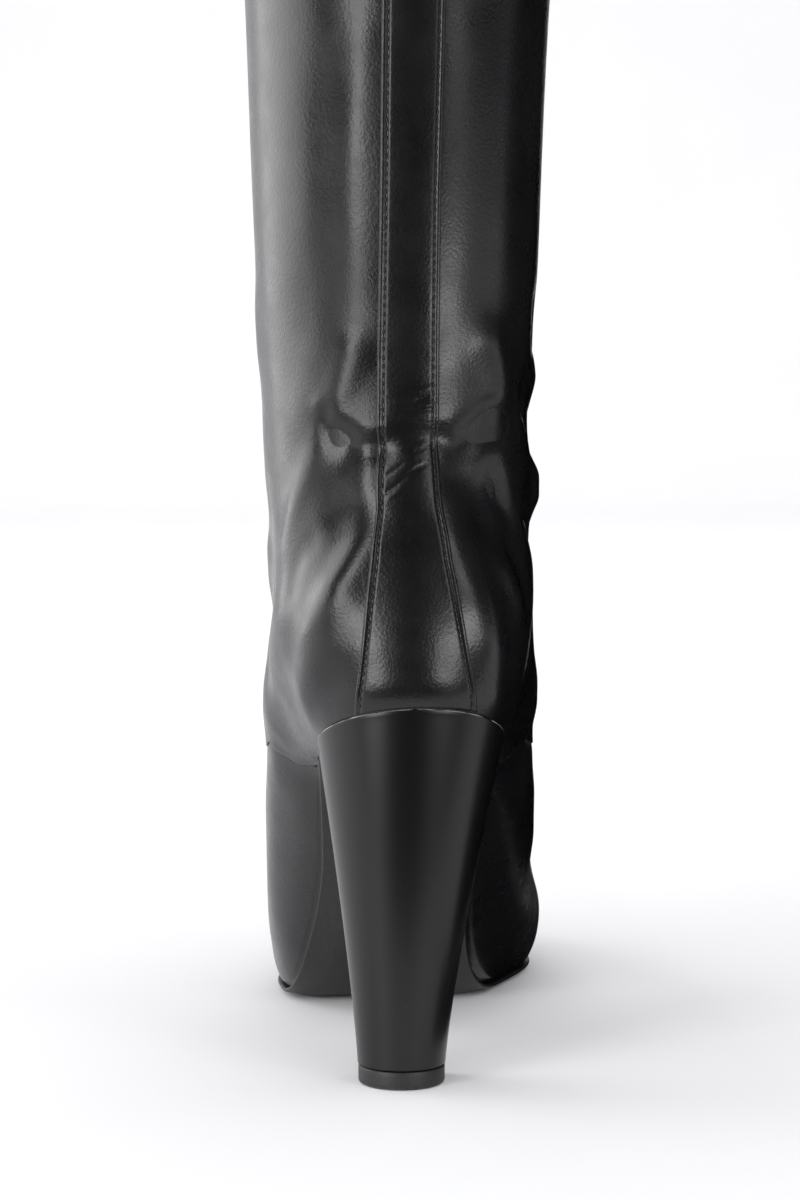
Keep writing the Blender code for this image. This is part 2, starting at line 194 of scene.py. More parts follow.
GIRTH_TURNS = np.linspace(0.0, 1.0, 721)
GIRTH_HEIGHTS = np.concatenate([np.arange(HEEL_HEIGHT, 300.0, 2.0), np.arange(300.0, 680.0, 8.0)])
GIRTH_STEPS = np.diff(skin(GIRTH_TURNS[None, :], GIRTH_HEIGHTS[:, None]), axis=1)
GIRTH = np.insert(np.cumsum(np.linalg.norm(GIRTH_STEPS, axis=-1), axis=1), 0, 0.0, axis=1)


def girth_arc(turn, height):
    """Distance round the skin from the centre back over the outer side, from a grid of sums."""
    t = np.clip(turn, 0.0, 1.0) * (len(GIRTH_TURNS) - 1)
    h = np.interp(height, GIRTH_HEIGHTS, np.arange(len(GIRTH_HEIGHTS)))
    i = np.clip(t.astype(int), 0, len(GIRTH_TURNS) - 2)
    j = np.clip(h.astype(int), 0, len(GIRTH_HEIGHTS) - 2)
    a, b = t - i, h - j
    low = GIRTH[j, i] * (1 - a) + GIRTH[j, i + 1] * a
    high = GIRTH[j + 1, i] * (1 - a) + GIRTH[j + 1, i + 1] * a
    return low * (1 - b) + high * b


def back_arc(turn, height):
    """Distance round the skin from the centre back: positive on the outer side, negative inside."""
    whole = girth_arc(np.ones_like(turn), height)
    arc = girth_arc(turn, height)
    return np.where(turn < 0.5, arc, arc - whole)


# ---------------------------------------------------------------------------------------------
# Creases. Wear has set soft rolls and hollows in the calf round the ankle and over the heel cup.
# Each is a path over the skin, in millimetres round from the centre back and height, with its half
# breadth and how far it stands out (or in, when negative).

FOLDS = (
    # path of (arc, height), half breadth, depth
    # the outer side: pouch over the ankle with a trough round it, the lip and hollow below
    (((18.2, 200.6), (20.9, 194.6), (23.4, 189.6), (24, 186.6)), 5.5, 1.1),
    (((28.8, 199.6), (32.3, 192.6)), 10, 0.7),
    (((27.2, 184.6), (22.5, 179.6), (17.6, 176.6), (11, 174.1)), 4.5, -2),
    (((29.3, 189.6), (29.5, 186.6), (30.2, 183.6)), 2.6, 0.35),
    (((29.9, 182.1), (33.2, 176.1), (38.6, 169.6), (44, 163.1), (49.7, 158.1)), 5.5, 1),
    (((18, 168.6), (19.9, 163.1), (23.5, 157.6)), 9, -1.5),
    (((10.1, 158.6), (13, 153.6), (17.3, 147.6), (23.2, 141.1), (30.6, 135.6), (38.9, 130.1),
      (48.6, 126.6)), 6, 1.3),
    (((23.3, 137.1), (28.8, 129.1), (34.3, 122.6), (41.6, 118.1)), 8, 1.8),
    (((30, 109.5), (14, 109.5), (0, 109.5), (-12, 109.5), (-22, 109.5)), 7, 1.2),
    (((34.8, 154.1), (40.7, 150.6), (44.3, 144.6)), 4, -0.6),
    (((12.6, 171.6), (13.6, 168.6), (14.8, 165.1)), 5, 0.7),
    (((15, 176.6), (16, 172.6), (17.5, 169.1)), 6, 0.8),
    # the strip's own bends
    (((10.9, 175.6), (2.5, 176.6), (-6.2, 177.6)), 3.8, -1.1),
    # the shaft's soft vertical folds
    (((17.3, 290.6), (16.6, 270.6), (19, 252.6), (19.1, 235.1), (17.6, 222.1), (17.9, 204.1)),
     5.5, 0.35),
    (((26.7, 283.6), (28.4, 268.6), (26.2, 245.6), (25.8, 230.6), (27.3, 213.1)), 8, -0.5),
    (((-15.6, 291.1), (-19, 266.1), (-19.5, 240.6), (-18.3, 214.6)), 10, 0.5),
    # the inner side: pouch, trough and facet, then overlapping rolls towards the front
    (((-22.2, 204.1), (-25.4, 198.1), (-26.2, 192.6)), 6.5, 1.7),
    (((-6.3, 174.1), (-11.5, 176.1), (-18.1, 180.1), (-25.3, 184.6), (-33.6, 188.6)), 4.6, -2.2),
    (((-13.7, 167.1), (-18.6, 163.1), (-21.6, 157.6)), 8.5, -2.2),
    (((-58, 217), (-58, 213)), 6, -1.8),
    (((-59, 208), (-58.5, 205)), 4.5, 1),
    (((-46, 195), (-60, 192.5), (-78, 192)), 5.6, -3.7),
    (((-61, 180.5), (-59.5, 175.5)), 5, 2.5),
    (((-25.9, 168.6), (-29.1, 164.1), (-34.6, 159.1)), 5, -1.3),
    (((-46, 165), (-60, 162.5), (-76, 161)), 4.4, -3),
    (((-22.8, 151.1), (-26.8, 148.1), (-32.5, 144.1), (-37.5, 138.6), (-46, 133.6)), 4.5, 0.9),
    (((-32.8, 152.1), (-39.7, 147.1), (-44.2, 141.6)), 4.5, -1.1),
    (((-66.4, 138.1), (-75.1, 136.1)), 6, -0.9),
    (((-96.1, 138.1), (-100.6, 136.6)), 7, 1),
    (((-120.8, 130.1), (-141, 134.6), (-156, 133.6)), 9, 1.6),
    (((-10.2, 149.1), (-14.1, 140.6), (-19.2, 130.6), (-22.4, 120.6), (-24.3, 113.1)), 7, 1.9),
    # the outer side's outline
    (((72.5, 219), (72.5, 214)), 8, 0.9),
    (((75, 193), (76.5, 187), (79, 182)), 9, 0.5),
    (((82, 179.5), (83, 177)), 5, -0.6),
    (((88, 170), (92, 166)), 6, 1),
    (((70, 149), (75, 142), (80, 136)), 6.5, -1.8),
    (((99, 151), (92, 143)), 7, -1.2),
)
FOLD_STEPS = 36
TIGHT_HALF = 4.0         # folds narrower than this have cracked the finish
WEAR_SPREAD = 1.6        # over this many times their breadth
WEAR_FULL = 1.5          # fully where they move it this far


def fold(arc, height, path, half, depth):
    """Ridge or trough over the skin: depth times exp(-(distance to the path / half) ** 2).

    The path is a smooth curve through its points. A path that is long for its breadth dies away
    over two and a half half breadths at both ends; a short one keeps its round ends.
    """
    path = np.array(path, float)
    line = spline(np.arange(len(path)), path, np.linspace(0, len(path) - 1, FOLD_STEPS))
    low, high = line.min(axis=0) - 3 * half, line.max(axis=0) + 3 * half
    near = (arc > low[0]) & (arc < high[0]) & (height > low[1]) & (height < high[1])
    spot = np.stack([arc[near], height[near]], axis=-1)[:, None, :]
    start, step = line[:-1], np.diff(line, axis=0)
    long = np.linalg.norm(step, axis=1)
    share = np.clip(((spot - start) * step).sum(-1) / long ** 2, 0.0, 1.0)
    square = ((spot - start - step * share[..., None]) ** 2).sum(-1)
    nearest = np.argmin(square, axis=1)[:, None]
    travelled = (np.cumsum(long) - long)[nearest] \
        + long[nearest] * np.take_along_axis(share, nearest, 1)
    kept = np.clip(1.5 - long.sum() / (6 * half), 0.0, 1.0)
    fade = kept + (1 - kept) * ease(0.0, 2.5 * half, np.minimum(travelled, long.sum() - travelled))
    made = np.zeros_like(arc)
    made[near] = (depth * fade * np.exp(-np.take_along_axis(square, nearest, 1) / half ** 2))[:, 0]
    return made


def relief(turn, height):
    """Height of the creases over the skin: the sum of all the folds."""
    turn, height = np.broadcast_arrays(turn, height)
    arc = back_arc(turn, height)
    return sum(fold(arc, height, *row) for row in FOLDS)


def creased(turn, height):
    """Share of wear, 0 to 1, that the finish reads: how much the tight folds, spread, move it."""
    turn, height = np.broadcast_arrays(turn, height)
    arc = back_arc(turn, height)
    tight = [np.abs(fold(arc, height, path, half * WEAR_SPREAD, depth))
             for path, half, depth in FOLDS if half < TIGHT_HALF]
    return np.clip(sum(tight) / WEAR_FULL, 0.0, 1.0)


# ---------------------------------------------------------------------------------------------
# Vamp. One piece of black calf over the toe and the instep, from the heel's breast on one side
# round to the other. Its upper edge runs up under the leg, and its lower edge turns in at the
# feather line, under the foot.

SEAM = (
    # turn from the centre back, height of the leg's lower edge
    (0.000, 105.5), (0.150, 105.5), (0.160, 106.6), (0.171, 111.2), (0.182, 118.2),
    (0.200, 127.6), (0.250, 141.0), (0.300, 151.0), (0.350, 159.0), (0.400, 165.0),
    (0.450, 169.0), (0.500, 170.5),
)
LAP = 6.0                # the vamp runs this far up under the leg
LEATHER = 1.1            # thickness of the calf
VAMP_DEEP = -0.3         # the vamp lies this far under the skin
VAMP_SINK = -1.2         # and this far where the leg lies over it
VAMP_SETTLE = 9.0        # height over which it comes back up below the seam
VAMP_THICK = 1.0
SEAM_STEP = 0.12         # it first steps up this far, right under the leg's edge
SEAM_STEP_HIGH = 0.8
FEATHER_ROUND = 1.3      # the edge turns in over this radius
FEATHER_MARGIN = 6.0
FEATHER_CLEAR = 0.1      # and stays this far over the sole line
VAMP_TURNS = np.linspace(0.138, 0.862, 236)
VAMP_RISE = np.linspace(0.0, 1.0, 92) ** 0.92
MM = 0.001


def seam_height(turn):
    """Height of the leg's lower edge at a turn, the same on both sides of the foot."""
    places, heights = np.array(SEAM).T
    return np.interp(np.minimum(turn, 1 - turn), places, heights)


def feather_plan(turn, inset):
    """Plan of the feather line moved inwards by inset, square to the line: points (x, forward)."""
    edge = skin(turn, HEEL_HEIGHT)[..., :2]
    along = skin(turn + 1e-3, HEEL_HEIGHT)[..., :2] - skin(turn - 1e-3, HEEL_HEIGHT)[..., :2]
    along = along / np.linalg.norm(along, axis=-1, keepdims=True)
    outward = np.stack([along[..., 1], -along[..., 0]], axis=-1)
    return edge - outward * np.asarray(inset)[..., None]


def over_skin(turn, height, offset):
    """Point over the skin: the skin moved along its normal by the offset and the creases."""
    turn, height, offset = np.broadcast_arrays(turn, height, offset)
    shift = offset + relief(turn, height)
    return skin(turn, height) + skin_normal(turn, height) * shift[..., None]


def feather_turn(turn, depth):
    """Turned-in edge at the feather line, from the margin under the foot out and up.

    A quarter circle joins the flat margin to the wall; depth is how far the wall lies in.
    """
    swing = np.radians(np.linspace(0.0, 90.0, 6))
    inset = np.append(FEATHER_MARGIN, FEATHER_ROUND * (1 - np.sin(swing))) - depth
    rise = np.append(0.0, FEATHER_ROUND * (1 - np.cos(swing)))
    plan = feather_plan(turn[None, :], np.broadcast_to(inset[:, None], (len(inset), len(turn))))
    height = sole_line(plan[..., 1]) + FEATHER_CLEAR + rise[:, None]
    return np.concatenate([plan, height[..., None]], axis=-1)


def mesh_object(name, points, faces):
    """Smooth mesh object from shoe points in millimetres and faces of point numbers."""
    mesh = bpy.data.meshes.new(name)
    mesh.from_pydata((points.reshape(-1, 3) * (MM, -MM, MM)).tolist(), [], faces)
    mesh.shade_smooth()
    made = bpy.data.objects.new(name, mesh)
    bpy.context.scene.collection.objects.link(made)
    return made


def add_piece(name, points, flat=None, wrap_rows=False, wrap_columns=False, cap_rows=False,
              cap_columns=False, worn=None):
    """Mesh object from a grid of shoe points, rows upwards and columns towards the outer side.

    flat holds each point's place on the flat hide, kept as a UV map in metres, with one more
    column where the columns wrap, and worn a share from 0 to 1 kept as the point attribute "worn":
    crease wear on the calf, and on the heel the seat's rim where a highlight is painted.
    """
    rows, columns = points.shape[:2]
    r, c = np.meshgrid(np.arange(rows - (not wrap_rows)), np.arange(columns - (not wrap_columns)),
                       indexing="ij")
    corners = ((r, c + 1), (r, c), (r + 1, c), (r + 1, c + 1))
    faces = np.stack([a % rows * columns + b % columns for a, b in corners], -1).reshape(-1, 4)
    faces = faces.tolist()
    if cap_rows:
        faces.append(list(range(columns)))
        faces.append(list(range((rows - 1) * columns, rows * columns))[::-1])
    if cap_columns:
        faces.append([i * columns for i in range(rows)][::-1])
        faces.append([i * columns + columns - 1 for i in range(rows)])
    made = mesh_object(name, points, faces)
    mesh = made.data
    if flat is not None:
        wide = flat.shape[1]
        place = np.stack([a % rows * wide + b for a, b in corners], -1).reshape(-1)
        layer = mesh.uv_layers.new(name="hide")
        spots = np.zeros((len(mesh.loops), 2))
        spots[:len(place)] = flat.reshape(-1, 2)[place] * MM
        layer.data.foreach_set("uv", spots.ravel())
    if worn is not None:
        mesh.attributes.new("worn", "FLOAT", "POINT").data.foreach_set("value", worn.ravel())
    return made


def finish_piece(made, material, slot, *nodes):
    """Gives a piece its material and body, and hides the CAD nodes it stands for; slot is not used.
    """
    made.data.materials.append(material)
    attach(made, "root")
    if nodes:
        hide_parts(*nodes)


def linear(code):
    """Linear RGBA of an sRGB hex colour: each channel through the sRGB curve."""
    raw = np.array([int(code[i:i + 2], 16) for i in (1, 3, 5)]) / 255
    return (*np.where(raw <= 0.04045, raw / 12.92, ((raw + 0.055) / 1.055) ** 2.4), 1.0)


def node(tree, kind, links=(), **settings):
    """Adds a node: settings name its properties or inputs, and links its inputs' sources."""
    made = tree.nodes.new("ShaderNode" + kind)
    for name, value in settings.items():
        if hasattr(made, name):
            setattr(made, name, value)
        else:
            made.inputs[name.replace("_", " ")].default_value = value
    for name, source in dict(links).items():
        tree.links.new(source, made.inputs[name])
    return made


def new_material(name):
    """Starts a node material: the material, its nodes, its shader and the object coordinates."""
    made = bpy.data.materials.new(name)
    made.use_nodes = True
    tree = made.node_tree
    return made, tree, tree.nodes["Principled BSDF"], node(tree, "TexCoord").outputs["Object"]


GRAIN_MM = 0.95          # real calf grain is about 0.4 mm and wouldn't show, so it is coarser
GRAIN_DEEP = 0.038
WRINKLE_DEEP = 0.16


def calf(name, colour, roughness):
    """Black aniline calf, glazed: smooth hide with a fine pebble grain and pores.

    Grain cells are a little under a millimetre across and domed, with the furrows between them
    bent by a slow wander, and pores lie less than half of that apart. Broad mottling follows the
    hide's uneven take-up of dye, and creased leather is wrinkled across. The glaze is a thin coat.
    """
    made, tree, shader, place = new_material(name)
    wander = node(tree, "TexNoise", {"Vector": place}, Scale=400.0, Detail=1.0)
    bent = node(tree, "VectorMath", {0: wander.outputs["Color"]}, operation="SCALE",
                Scale=0.5 * MM)
    moved = node(tree, "VectorMath", {0: place, 1: bent.outputs["Vector"]}, operation="ADD")
    cells = node(tree, "TexVoronoi", {"Vector": moved.outputs["Vector"]},
                 feature="SMOOTH_F1", Scale=1 / (GRAIN_MM * MM), Smoothness=0.3)
    domes = node(tree, "MapRange", {"Value": cells.outputs["Distance"]}, **{
        "From Min": 0.75, "From Max": 0.0})
    pores = node(tree, "TexNoise", {"Vector": place}, Scale=2.4 / (GRAIN_MM * MM), Detail=2.0)
    mottle = node(tree, "TexNoise", {"Vector": place}, Scale=28.0, Detail=3.0)
    patches = node(tree, "TexNoise", {"Vector": place}, Scale=130.0, Detail=2.0)
    grain = node(tree, "Math", {0: domes.outputs["Result"], 1: pores.outputs["Fac"]},
                 operation="ADD")
    hide = node(tree, "Attribute", attribute_name="hide", attribute_type="GEOMETRY")
    across = node(tree, "Mapping", {"Vector": hide.outputs["Vector"]}, Scale=(330.0, 900.0, 1.0))
    lines = node(tree, "TexNoise", {"Vector": across.outputs["Vector"]}, Scale=1.0, Detail=3.0)
    worn = node(tree, "Attribute", attribute_name="worn", attribute_type="GEOMETRY")
    wrinkled = node(tree, "Math", {0: lines.outputs["Fac"], 1: worn.outputs["Fac"]},
                    operation="MULTIPLY")
    fine = node(tree, "Bump", {"Height": grain.outputs["Value"]}, Strength=0.8,
                Distance=GRAIN_DEEP * MM)
    creases = node(tree, "Bump", {"Height": wrinkled.outputs["Value"],
                                  "Normal": fine.outputs["Normal"]}, Strength=0.6,
                   Distance=WRINKLE_DEEP * MM)
    tree.links.new(creases.outputs["Normal"], shader.inputs["Normal"])
    tone = node(tree, "ValToRGB", {"Fac": mottle.outputs["Fac"]})
    tone.color_ramp.elements[0].position, tone.color_ramp.elements[1].position = 0.35, 0.7
    tone.color_ramp.elements[0].color, tone.color_ramp.elements[1].color = map(linear, colour)
    tree.links.new(tone.outputs["Color"], shader.inputs["Base Color"])
    rough = node(tree, "MapRange", {"Value": patches.outputs["Fac"]}, **{
        "From Min": 0.3, "From Max": 0.7, "To Min": roughness - 0.04, "To Max": roughness + 0.05})
    tree.links.new(rough.outputs["Result"], shader.inputs["Roughness"])
    shader.inputs["IOR"].default_value = 1.45
    shader.inputs["Coat Weight"].default_value = 0.1
    shader.inputs["Coat Roughness"].default_value = 0.2
    return made


def vamp_rows():
    """Grid of the vamp: turned-in edge, outer face up under the leg, then the flesh side down."""
    turn = VAMP_TURNS
    seam = seam_height(turn)
    low = HEEL_HEIGHT + FEATHER_ROUND
    height = low + (seam + LAP - low) * VAMP_RISE[:, None]
    below = seam - height
    offset = VAMP_SINK + SEAM_STEP * ease(0.0, SEAM_STEP_HIGH, below) \
        + (VAMP_DEEP - VAMP_SINK - SEAM_STEP) * ease(0.0, VAMP_SETTLE, below)
    outer = over_skin(turn[None, :], height, offset)
    inside = np.linspace(1.0, 0.0, 30)
    inner_height = low + (seam + LAP - low) * inside[:, None]
    inner_offset = np.interp(inside, (0.0, 0.8, 1.0), (VAMP_DEEP, VAMP_SINK, VAMP_SINK)) \
        - VAMP_THICK
    inner = over_skin(turn[None, :], inner_height, inner_offset[:, None])
    edge = feather_turn(turn, VAMP_DEEP)
    under = feather_turn(turn, VAMP_DEEP - VAMP_THICK)[::-1]
    under[..., 2] += VAMP_THICK
    heights = np.concatenate([np.full((len(edge), len(turn)), HEEL_HEIGHT), height, inner_height,
                              np.full((len(under), len(turn)), HEEL_HEIGHT)])
    return np.concatenate([edge, outer, inner, under]), heights


vamp_points, vamp_heights = vamp_rows()
vamp_turns = np.broadcast_to(VAMP_TURNS, vamp_heights.shape)
vamp_steps = np.linalg.norm(np.diff(vamp_points[np.r_[:len(vamp_points), 0]], axis=0), axis=-1)
vamp_along = np.concatenate([[0.0], np.cumsum(vamp_steps.mean(axis=1))])
vamp_arcs = girth_arc(vamp_turns, vamp_heights)[np.r_[:len(vamp_points), 0]]
vamp = add_piece("vamp", vamp_points, wrap_rows=True, cap_columns=True,
                 flat=np.stack(np.broadcast_arrays(vamp_arcs, vamp_along[:, None]), axis=-1),
                 worn=creased(vamp_turns, vamp_heights))
black_calf = calf("black_calf", ("#0c0c0e", "#131315"), 0.29)
finish_piece(vamp, black_calf, "upper_leather")

# ---------------------------------------------------------------------------------------------
# Leg. Two panels of the same calf, lapped over the vamp from the heel's breast up to the instep,
# sewn together down the front and under the back strip, and folded in at the topline.

LEG_TOP = 667.4
LEG_TURNS = np.arange(304) / 304
LEG_TURNS = LEG_TURNS - 0.075 * np.sin(2 * np.pi * LEG_TURNS)      # closer columns at the back
LEG_LEVELS = np.concatenate([np.arange(106.2, 150.0, 0.9), np.arange(150.0, 212.0, 0.65),
                             np.arange(212.0, 300.0, 1.7), np.arange(300.0, LEG_TOP - 2, 6.5)])
HEM_SINK = -0.75         # the lower edge, pared thin, lies this far in
HEM_RISE = 6.0           # over this height
HEM_THICK = 0.35
FRONT_GROOVE = 0.5       # depth of the closed seam down the front
FRONT_GROOVE_HALF = 0.8
FRONT_SWELL = 0.125      # the seam allowances swell the calf on both sides of it
FRONT_SWELL_AWAY = 2.2
FRONT_SWELL_HALF = 1.4


def edge_round(thick, count):
    """Half circle over an edge from its inner to its outer face: (offset, rise) pairs."""
    swing = np.radians(np.linspace(180.0, 0.0, count))
    return np.stack([(np.cos(swing) - 1) * thick / 2, (1 - np.sin(swing)) * thick / 2], axis=-1)


def front_seam(turn, height):
    """Dip of the closed seam: a narrow trough between two low swells down the centre front."""
    away = girth_arc(turn, height) - girth_arc(np.full_like(turn, 0.5), height)
    return -FRONT_GROOVE * np.exp(-(away / FRONT_GROOVE_HALF) ** 2) \
        + FRONT_SWELL * np.exp(-((np.abs(away) - FRONT_SWELL_AWAY) / FRONT_SWELL_HALF) ** 2)


def leg_rows():
    """Grid of the leg's wall: lower edge, outer face, folded topline, then the flesh side."""
    seam = seam_height(LEG_TURNS)[None, :]
    low_edge, rims = edge_round(HEM_THICK, 6), edge_round(LEATHER, 7)[::-1]
    stretch = (LEG_TOP - seam) / (LEG_TOP - HEEL_HEIGHT)
    outer = seam + (LEG_LEVELS[:, None] - HEEL_HEIGHT) * stretch
    inner = np.linspace(LEG_TOP - 1, HEEL_HEIGHT + 1, 34)[:, None]
    inner = seam + (inner - HEEL_HEIGHT) * stretch
    heights = np.concatenate([seam + low_edge[:, 1:], outer, LEG_TOP - rims[:, 1:] + 0 * seam,
                              inner])
    offset = np.concatenate([low_edge[:, 0], np.zeros(len(outer)), rims[:, 0],
                             np.full(len(inner), -LEATHER)])
    pared = HEM_SINK * (1 - ease(0.0, HEM_RISE, heights - seam)) * (seam > HEEL_HEIGHT + 0.5)
    return heights, offset[:, None] + pared * (offset > -LEATHER)[:, None]


leg_heights, leg_offset = leg_rows()
leg_turns = np.broadcast_to(LEG_TURNS, leg_heights.shape)
leg_offset = leg_offset + np.where(leg_offset > -LEATHER, front_seam(leg_turns, leg_heights), 0.0)
leg_flat = np.stack([girth_arc(leg_turns, leg_heights), leg_heights], axis=-1)
leg_last = np.stack([girth_arc(np.ones(len(leg_heights)), leg_heights[:, 0]),
                     leg_heights[:, 0]], axis=-1)
leg_flat = np.concatenate([leg_flat, leg_last[:, None]], axis=1)
leg = add_piece("leg", over_skin(leg_turns, leg_heights, leg_offset), wrap_rows=True,
                wrap_columns=True, flat=leg_flat[np.r_[:len(leg_heights), 0]],
                worn=creased(leg_turns, leg_heights))
finish_piece(leg, black_calf, "upper_leather", "upper")

# ---------------------------------------------------------------------------------------------
# Lining. Thin black sheepskin glued inside the leg, from a little under the topline down to the
# seat, where the sock lining covers its edge.

LINING_DROP = 9.0
LINING_OUT = -1.15
LINING_IN = -1.9
LINING_TURNS = np.arange(120) / 120
LINING_LEVELS = np.concatenate([np.arange(107.0, 215.0, 2.4), np.arange(215.0, 655.0, 7.0),
                                [LEG_TOP - LINING_DROP]])


def lining_rows():
    """Grid of the lining: up its outer face, over the cut edge and down the face that shows."""
    down = LINING_LEVELS[::-1]
    heights = np.concatenate([LINING_LEVELS, [LEG_TOP - LINING_DROP + 0.4], down])
    offset = np.concatenate([np.full(len(down), LINING_OUT), [(LINING_OUT + LINING_IN) / 2],
                             np.full(len(down), LINING_IN)])
    shape = (len(heights), len(LINING_TURNS))
    return np.broadcast_to(heights[:, None], shape), np.broadcast_to(offset[:, None], shape)


def sheepskin(name, colour):
    """Black lining sheepskin: matt and soft, with a faint open grain about 1 mm across."""
    made, tree, shader, place = new_material(name)
    grain = node(tree, "TexNoise", {"Vector": place}, Scale=1000.0, Detail=3.0)
    tone = node(tree, "ValToRGB", {"Fac": node(tree, "TexNoise", {"Vector": place},
                                               Scale=60.0).outputs["Fac"]})
    tone.color_ramp.elements[0].color, tone.color_ramp.elements[1].color = map(linear, colour)
    tree.links.new(tone.outputs["Color"], shader.inputs["Base Color"])
    bump = node(tree, "Bump", {"Height": grain.outputs["Fac"]}, Strength=0.4, Distance=0.1 * MM)
    tree.links.new(bump.outputs["Normal"], shader.inputs["Normal"])
    shader.inputs["Roughness"].default_value = 0.62
    shader.inputs["IOR"].default_value = 1.48
    return made


lining_heights, lining_offset = lining_rows()
lining = add_piece("lining", over_skin(LINING_TURNS[None, :], lining_heights, lining_offset),
                   wrap_rows=True, wrap_columns=True)
finish_piece(lining, sheepskin("black_sheepskin", ("#1a1a1b", "#232324")), "upper_leather")

# ---------------------------------------------------------------------------------------------
# Back strip. A narrow band of the calf over the centre-back join, its cut edges folded under,
# narrow up the leg and flared over the heel, sewn down along both edges.

STRIP = np.array((
    # height, middle and half breadth
    (106.2, 0.6, 17.2), (117.0, 1.3, 15.3), (131.0, 1.9, 12.8), (145.0, 2.2, 10.4),
    (159.0, 2.4, 8.8), (178.0, 2.6, 8.1), (240.0, 2.4, 7.9), (300.0, 1.6, 8.3), (666.6, 0.0, 8.6),
))
STRIP_PROUD = 0.85
STITCH_INSET = 1.3       # the row of stitches runs this far inside each edge
STITCH_SINK = 0.34       # and presses the leather down this far
STITCH_SINK_HALF = 0.55
EDGE_SWELL = 0.12        # between the row and the folded edge the leather swells
EDGE_SWELL_INSET = 0.6
EDGE_SWELL_HALF = 0.5
ANKLE_WEAR = 0.25        # share of wear all round the ankle, easing away above and below
STRIP_LEVELS = np.concatenate([np.arange(106.4, 225.0, 0.55), np.arange(225.0, 300.0, 1.2),
                               np.arange(300.0, 666.6, 2.6), [666.6]])
STRIP_SHARES = np.concatenate([np.linspace(-1.0, -0.72, 14), np.linspace(-0.68, 0.68, 22),
                               np.linspace(0.72, 1.0, 14)])
WRINKLES = (
    # path of (arc, height), half breadth, depth
    (((9.5, 187.4), (3.0, 187.8), (-4.0, 187.0)), 0.55, -0.14),
    (((5.6, 185.4), (1.0, 186.6), (-3.8, 189.0)), 0.5, -0.24),
    (((3.0, 189.2), (-1.4, 189.9), (-4.6, 191.2)), 0.6, 0.14),
    (((-0.5, 185.0), (-3.4, 185.8), (-5.4, 187.2)), 0.55, 0.2),
    (((6.0, 183.6), (1.0, 184.4), (-4.6, 185.0)), 0.55, -0.2),
    (((9.8, 166.6), (6.5, 168.6), (3.5, 170.6)), 0.5, -0.22),
    (((9.9, 162.2), (6.0, 164.6), (2.5, 167.4), (-1.5, 169.8), (-4.8, 171.6)), 0.55, -0.26),
    (((9.0, 160.6), (6.0, 162.4), (3.6, 164.4)), 0.6, 0.12),
    (((1.5, 173.0), (-2.0, 174.4), (-5.0, 175.8)), 0.5, -0.2),
    (((1.0, 171.2), (-2.0, 172.2), (-4.6, 173.4)), 0.5, -0.16),
    (((5.0, 153.4), (2.6, 155.2), (0.2, 157.4)), 0.6, -0.1),
    (((4.6, 148.2), (2.8, 150.4), (1.2, 152.8)), 0.55, -0.1),
    (((8.6, 199.4), (3.0, 200.0), (-4.0, 198.6)), 1.0, -0.1),
)


def strip_place(share, height):
    """Turn, arc and half breadth at a share of the strip's half breadth from its middle.

    The turn is stepped three times by what its arc still lacks.
    """
    middle = np.interp(height, STRIP[:, 0], STRIP[:, 1])
    half = np.interp(height, STRIP[:, 0], STRIP[:, 2])
    arc = middle + share * half
    rate = girth_arc(np.full_like(arc, 0.02), height) / 0.02
    turn = arc / rate
    for _ in range(3):
        turn = turn + (arc - np.sign(turn) * girth_arc(np.abs(turn), height)) / rate
    return turn, arc, half


def strip_grid(share, height, offset):
    """Points over the skin at shares across the strip, with its own wrinkles and pressed rows.

    The face is sunk along each row of stitches as -sink * exp(-(distance / half) ** 2), and swells
    in the same way between the row and the folded edge.
    """
    share, height, offset = np.broadcast_arrays(share, height, offset)
    turn, arc, half = strip_place(share, height)
    wrapped = np.mod(turn, 1.0)
    inside = (1 - np.abs(share)) * half
    press = -STITCH_SINK * np.exp(-((inside - STITCH_INSET) / STITCH_SINK_HALF) ** 2)
    swell = EDGE_SWELL * np.exp(-((inside - EDGE_SWELL_INSET) / EDGE_SWELL_HALF) ** 2)
    lines = sum(fold(arc, height, *row) for row in WRINKLES)
    face = (offset > 0) * (press + swell + lines)
    shift = offset + face + relief(wrapped, height)
    return skin(wrapped, height) + skin_normal(wrapped, height) * shift[..., None]


def strip_rows():
    """Closed loop across the strip: outer face, rounded edge, underside and the other edge."""
    edge = STRIP_PROUD / 2
    swing = np.radians(np.linspace(0.0, 180.0, 7))[1:-1]
    half = np.interp(STRIP_LEVELS, STRIP[:, 0], STRIP[:, 2])[:, None]
    right = np.sin(swing) * edge / half
    fall = edge + edge * np.cos(swing)
    under = np.linspace(1.0, -1.0, 10)
    share = np.concatenate([STRIP_SHARES + 0 * half, 1 + right, under + 0 * half,
                            -1 - right[:, ::-1]], axis=1)
    offset = np.concatenate([np.full(len(STRIP_SHARES), STRIP_PROUD), fall, np.zeros(len(under)),
                             fall[::-1]])
    return share, offset[None, :]


strip_share, strip_offset = strip_rows()
strip_height = np.broadcast_to(STRIP_LEVELS[:, None], strip_share.shape)
strip_points = strip_grid(strip_share, strip_height, strip_offset)
strip_turn, strip_arc, _ = strip_place(strip_share, strip_height)
strip_flat = np.stack([strip_arc, strip_height], axis=-1)
back_strip = add_piece("back_strip_leather", strip_points, wrap_columns=True, cap_rows=True,
                       flat=strip_flat[:, np.r_[:strip_share.shape[1], 0]],
                       worn=np.clip(creased(np.mod(strip_turn, 1.0), strip_height)
                                    + ANKLE_WEAR * ease(215.0, 180.0, strip_height)
                                    * ease(160.0, 175.0, strip_height), 0, 1))
strip_calf = calf("strip_calf", ("#0c0c0d", "#121213"), 0.3)
finish_piece(back_strip, strip_calf, "strip_leather", "back_strip")

# Stitches: black bonded thread, 0.45 mm thick, about eleven to the inch, along both edges of the
# strip. Each shows as a short bar that dips into its holes at both ends.

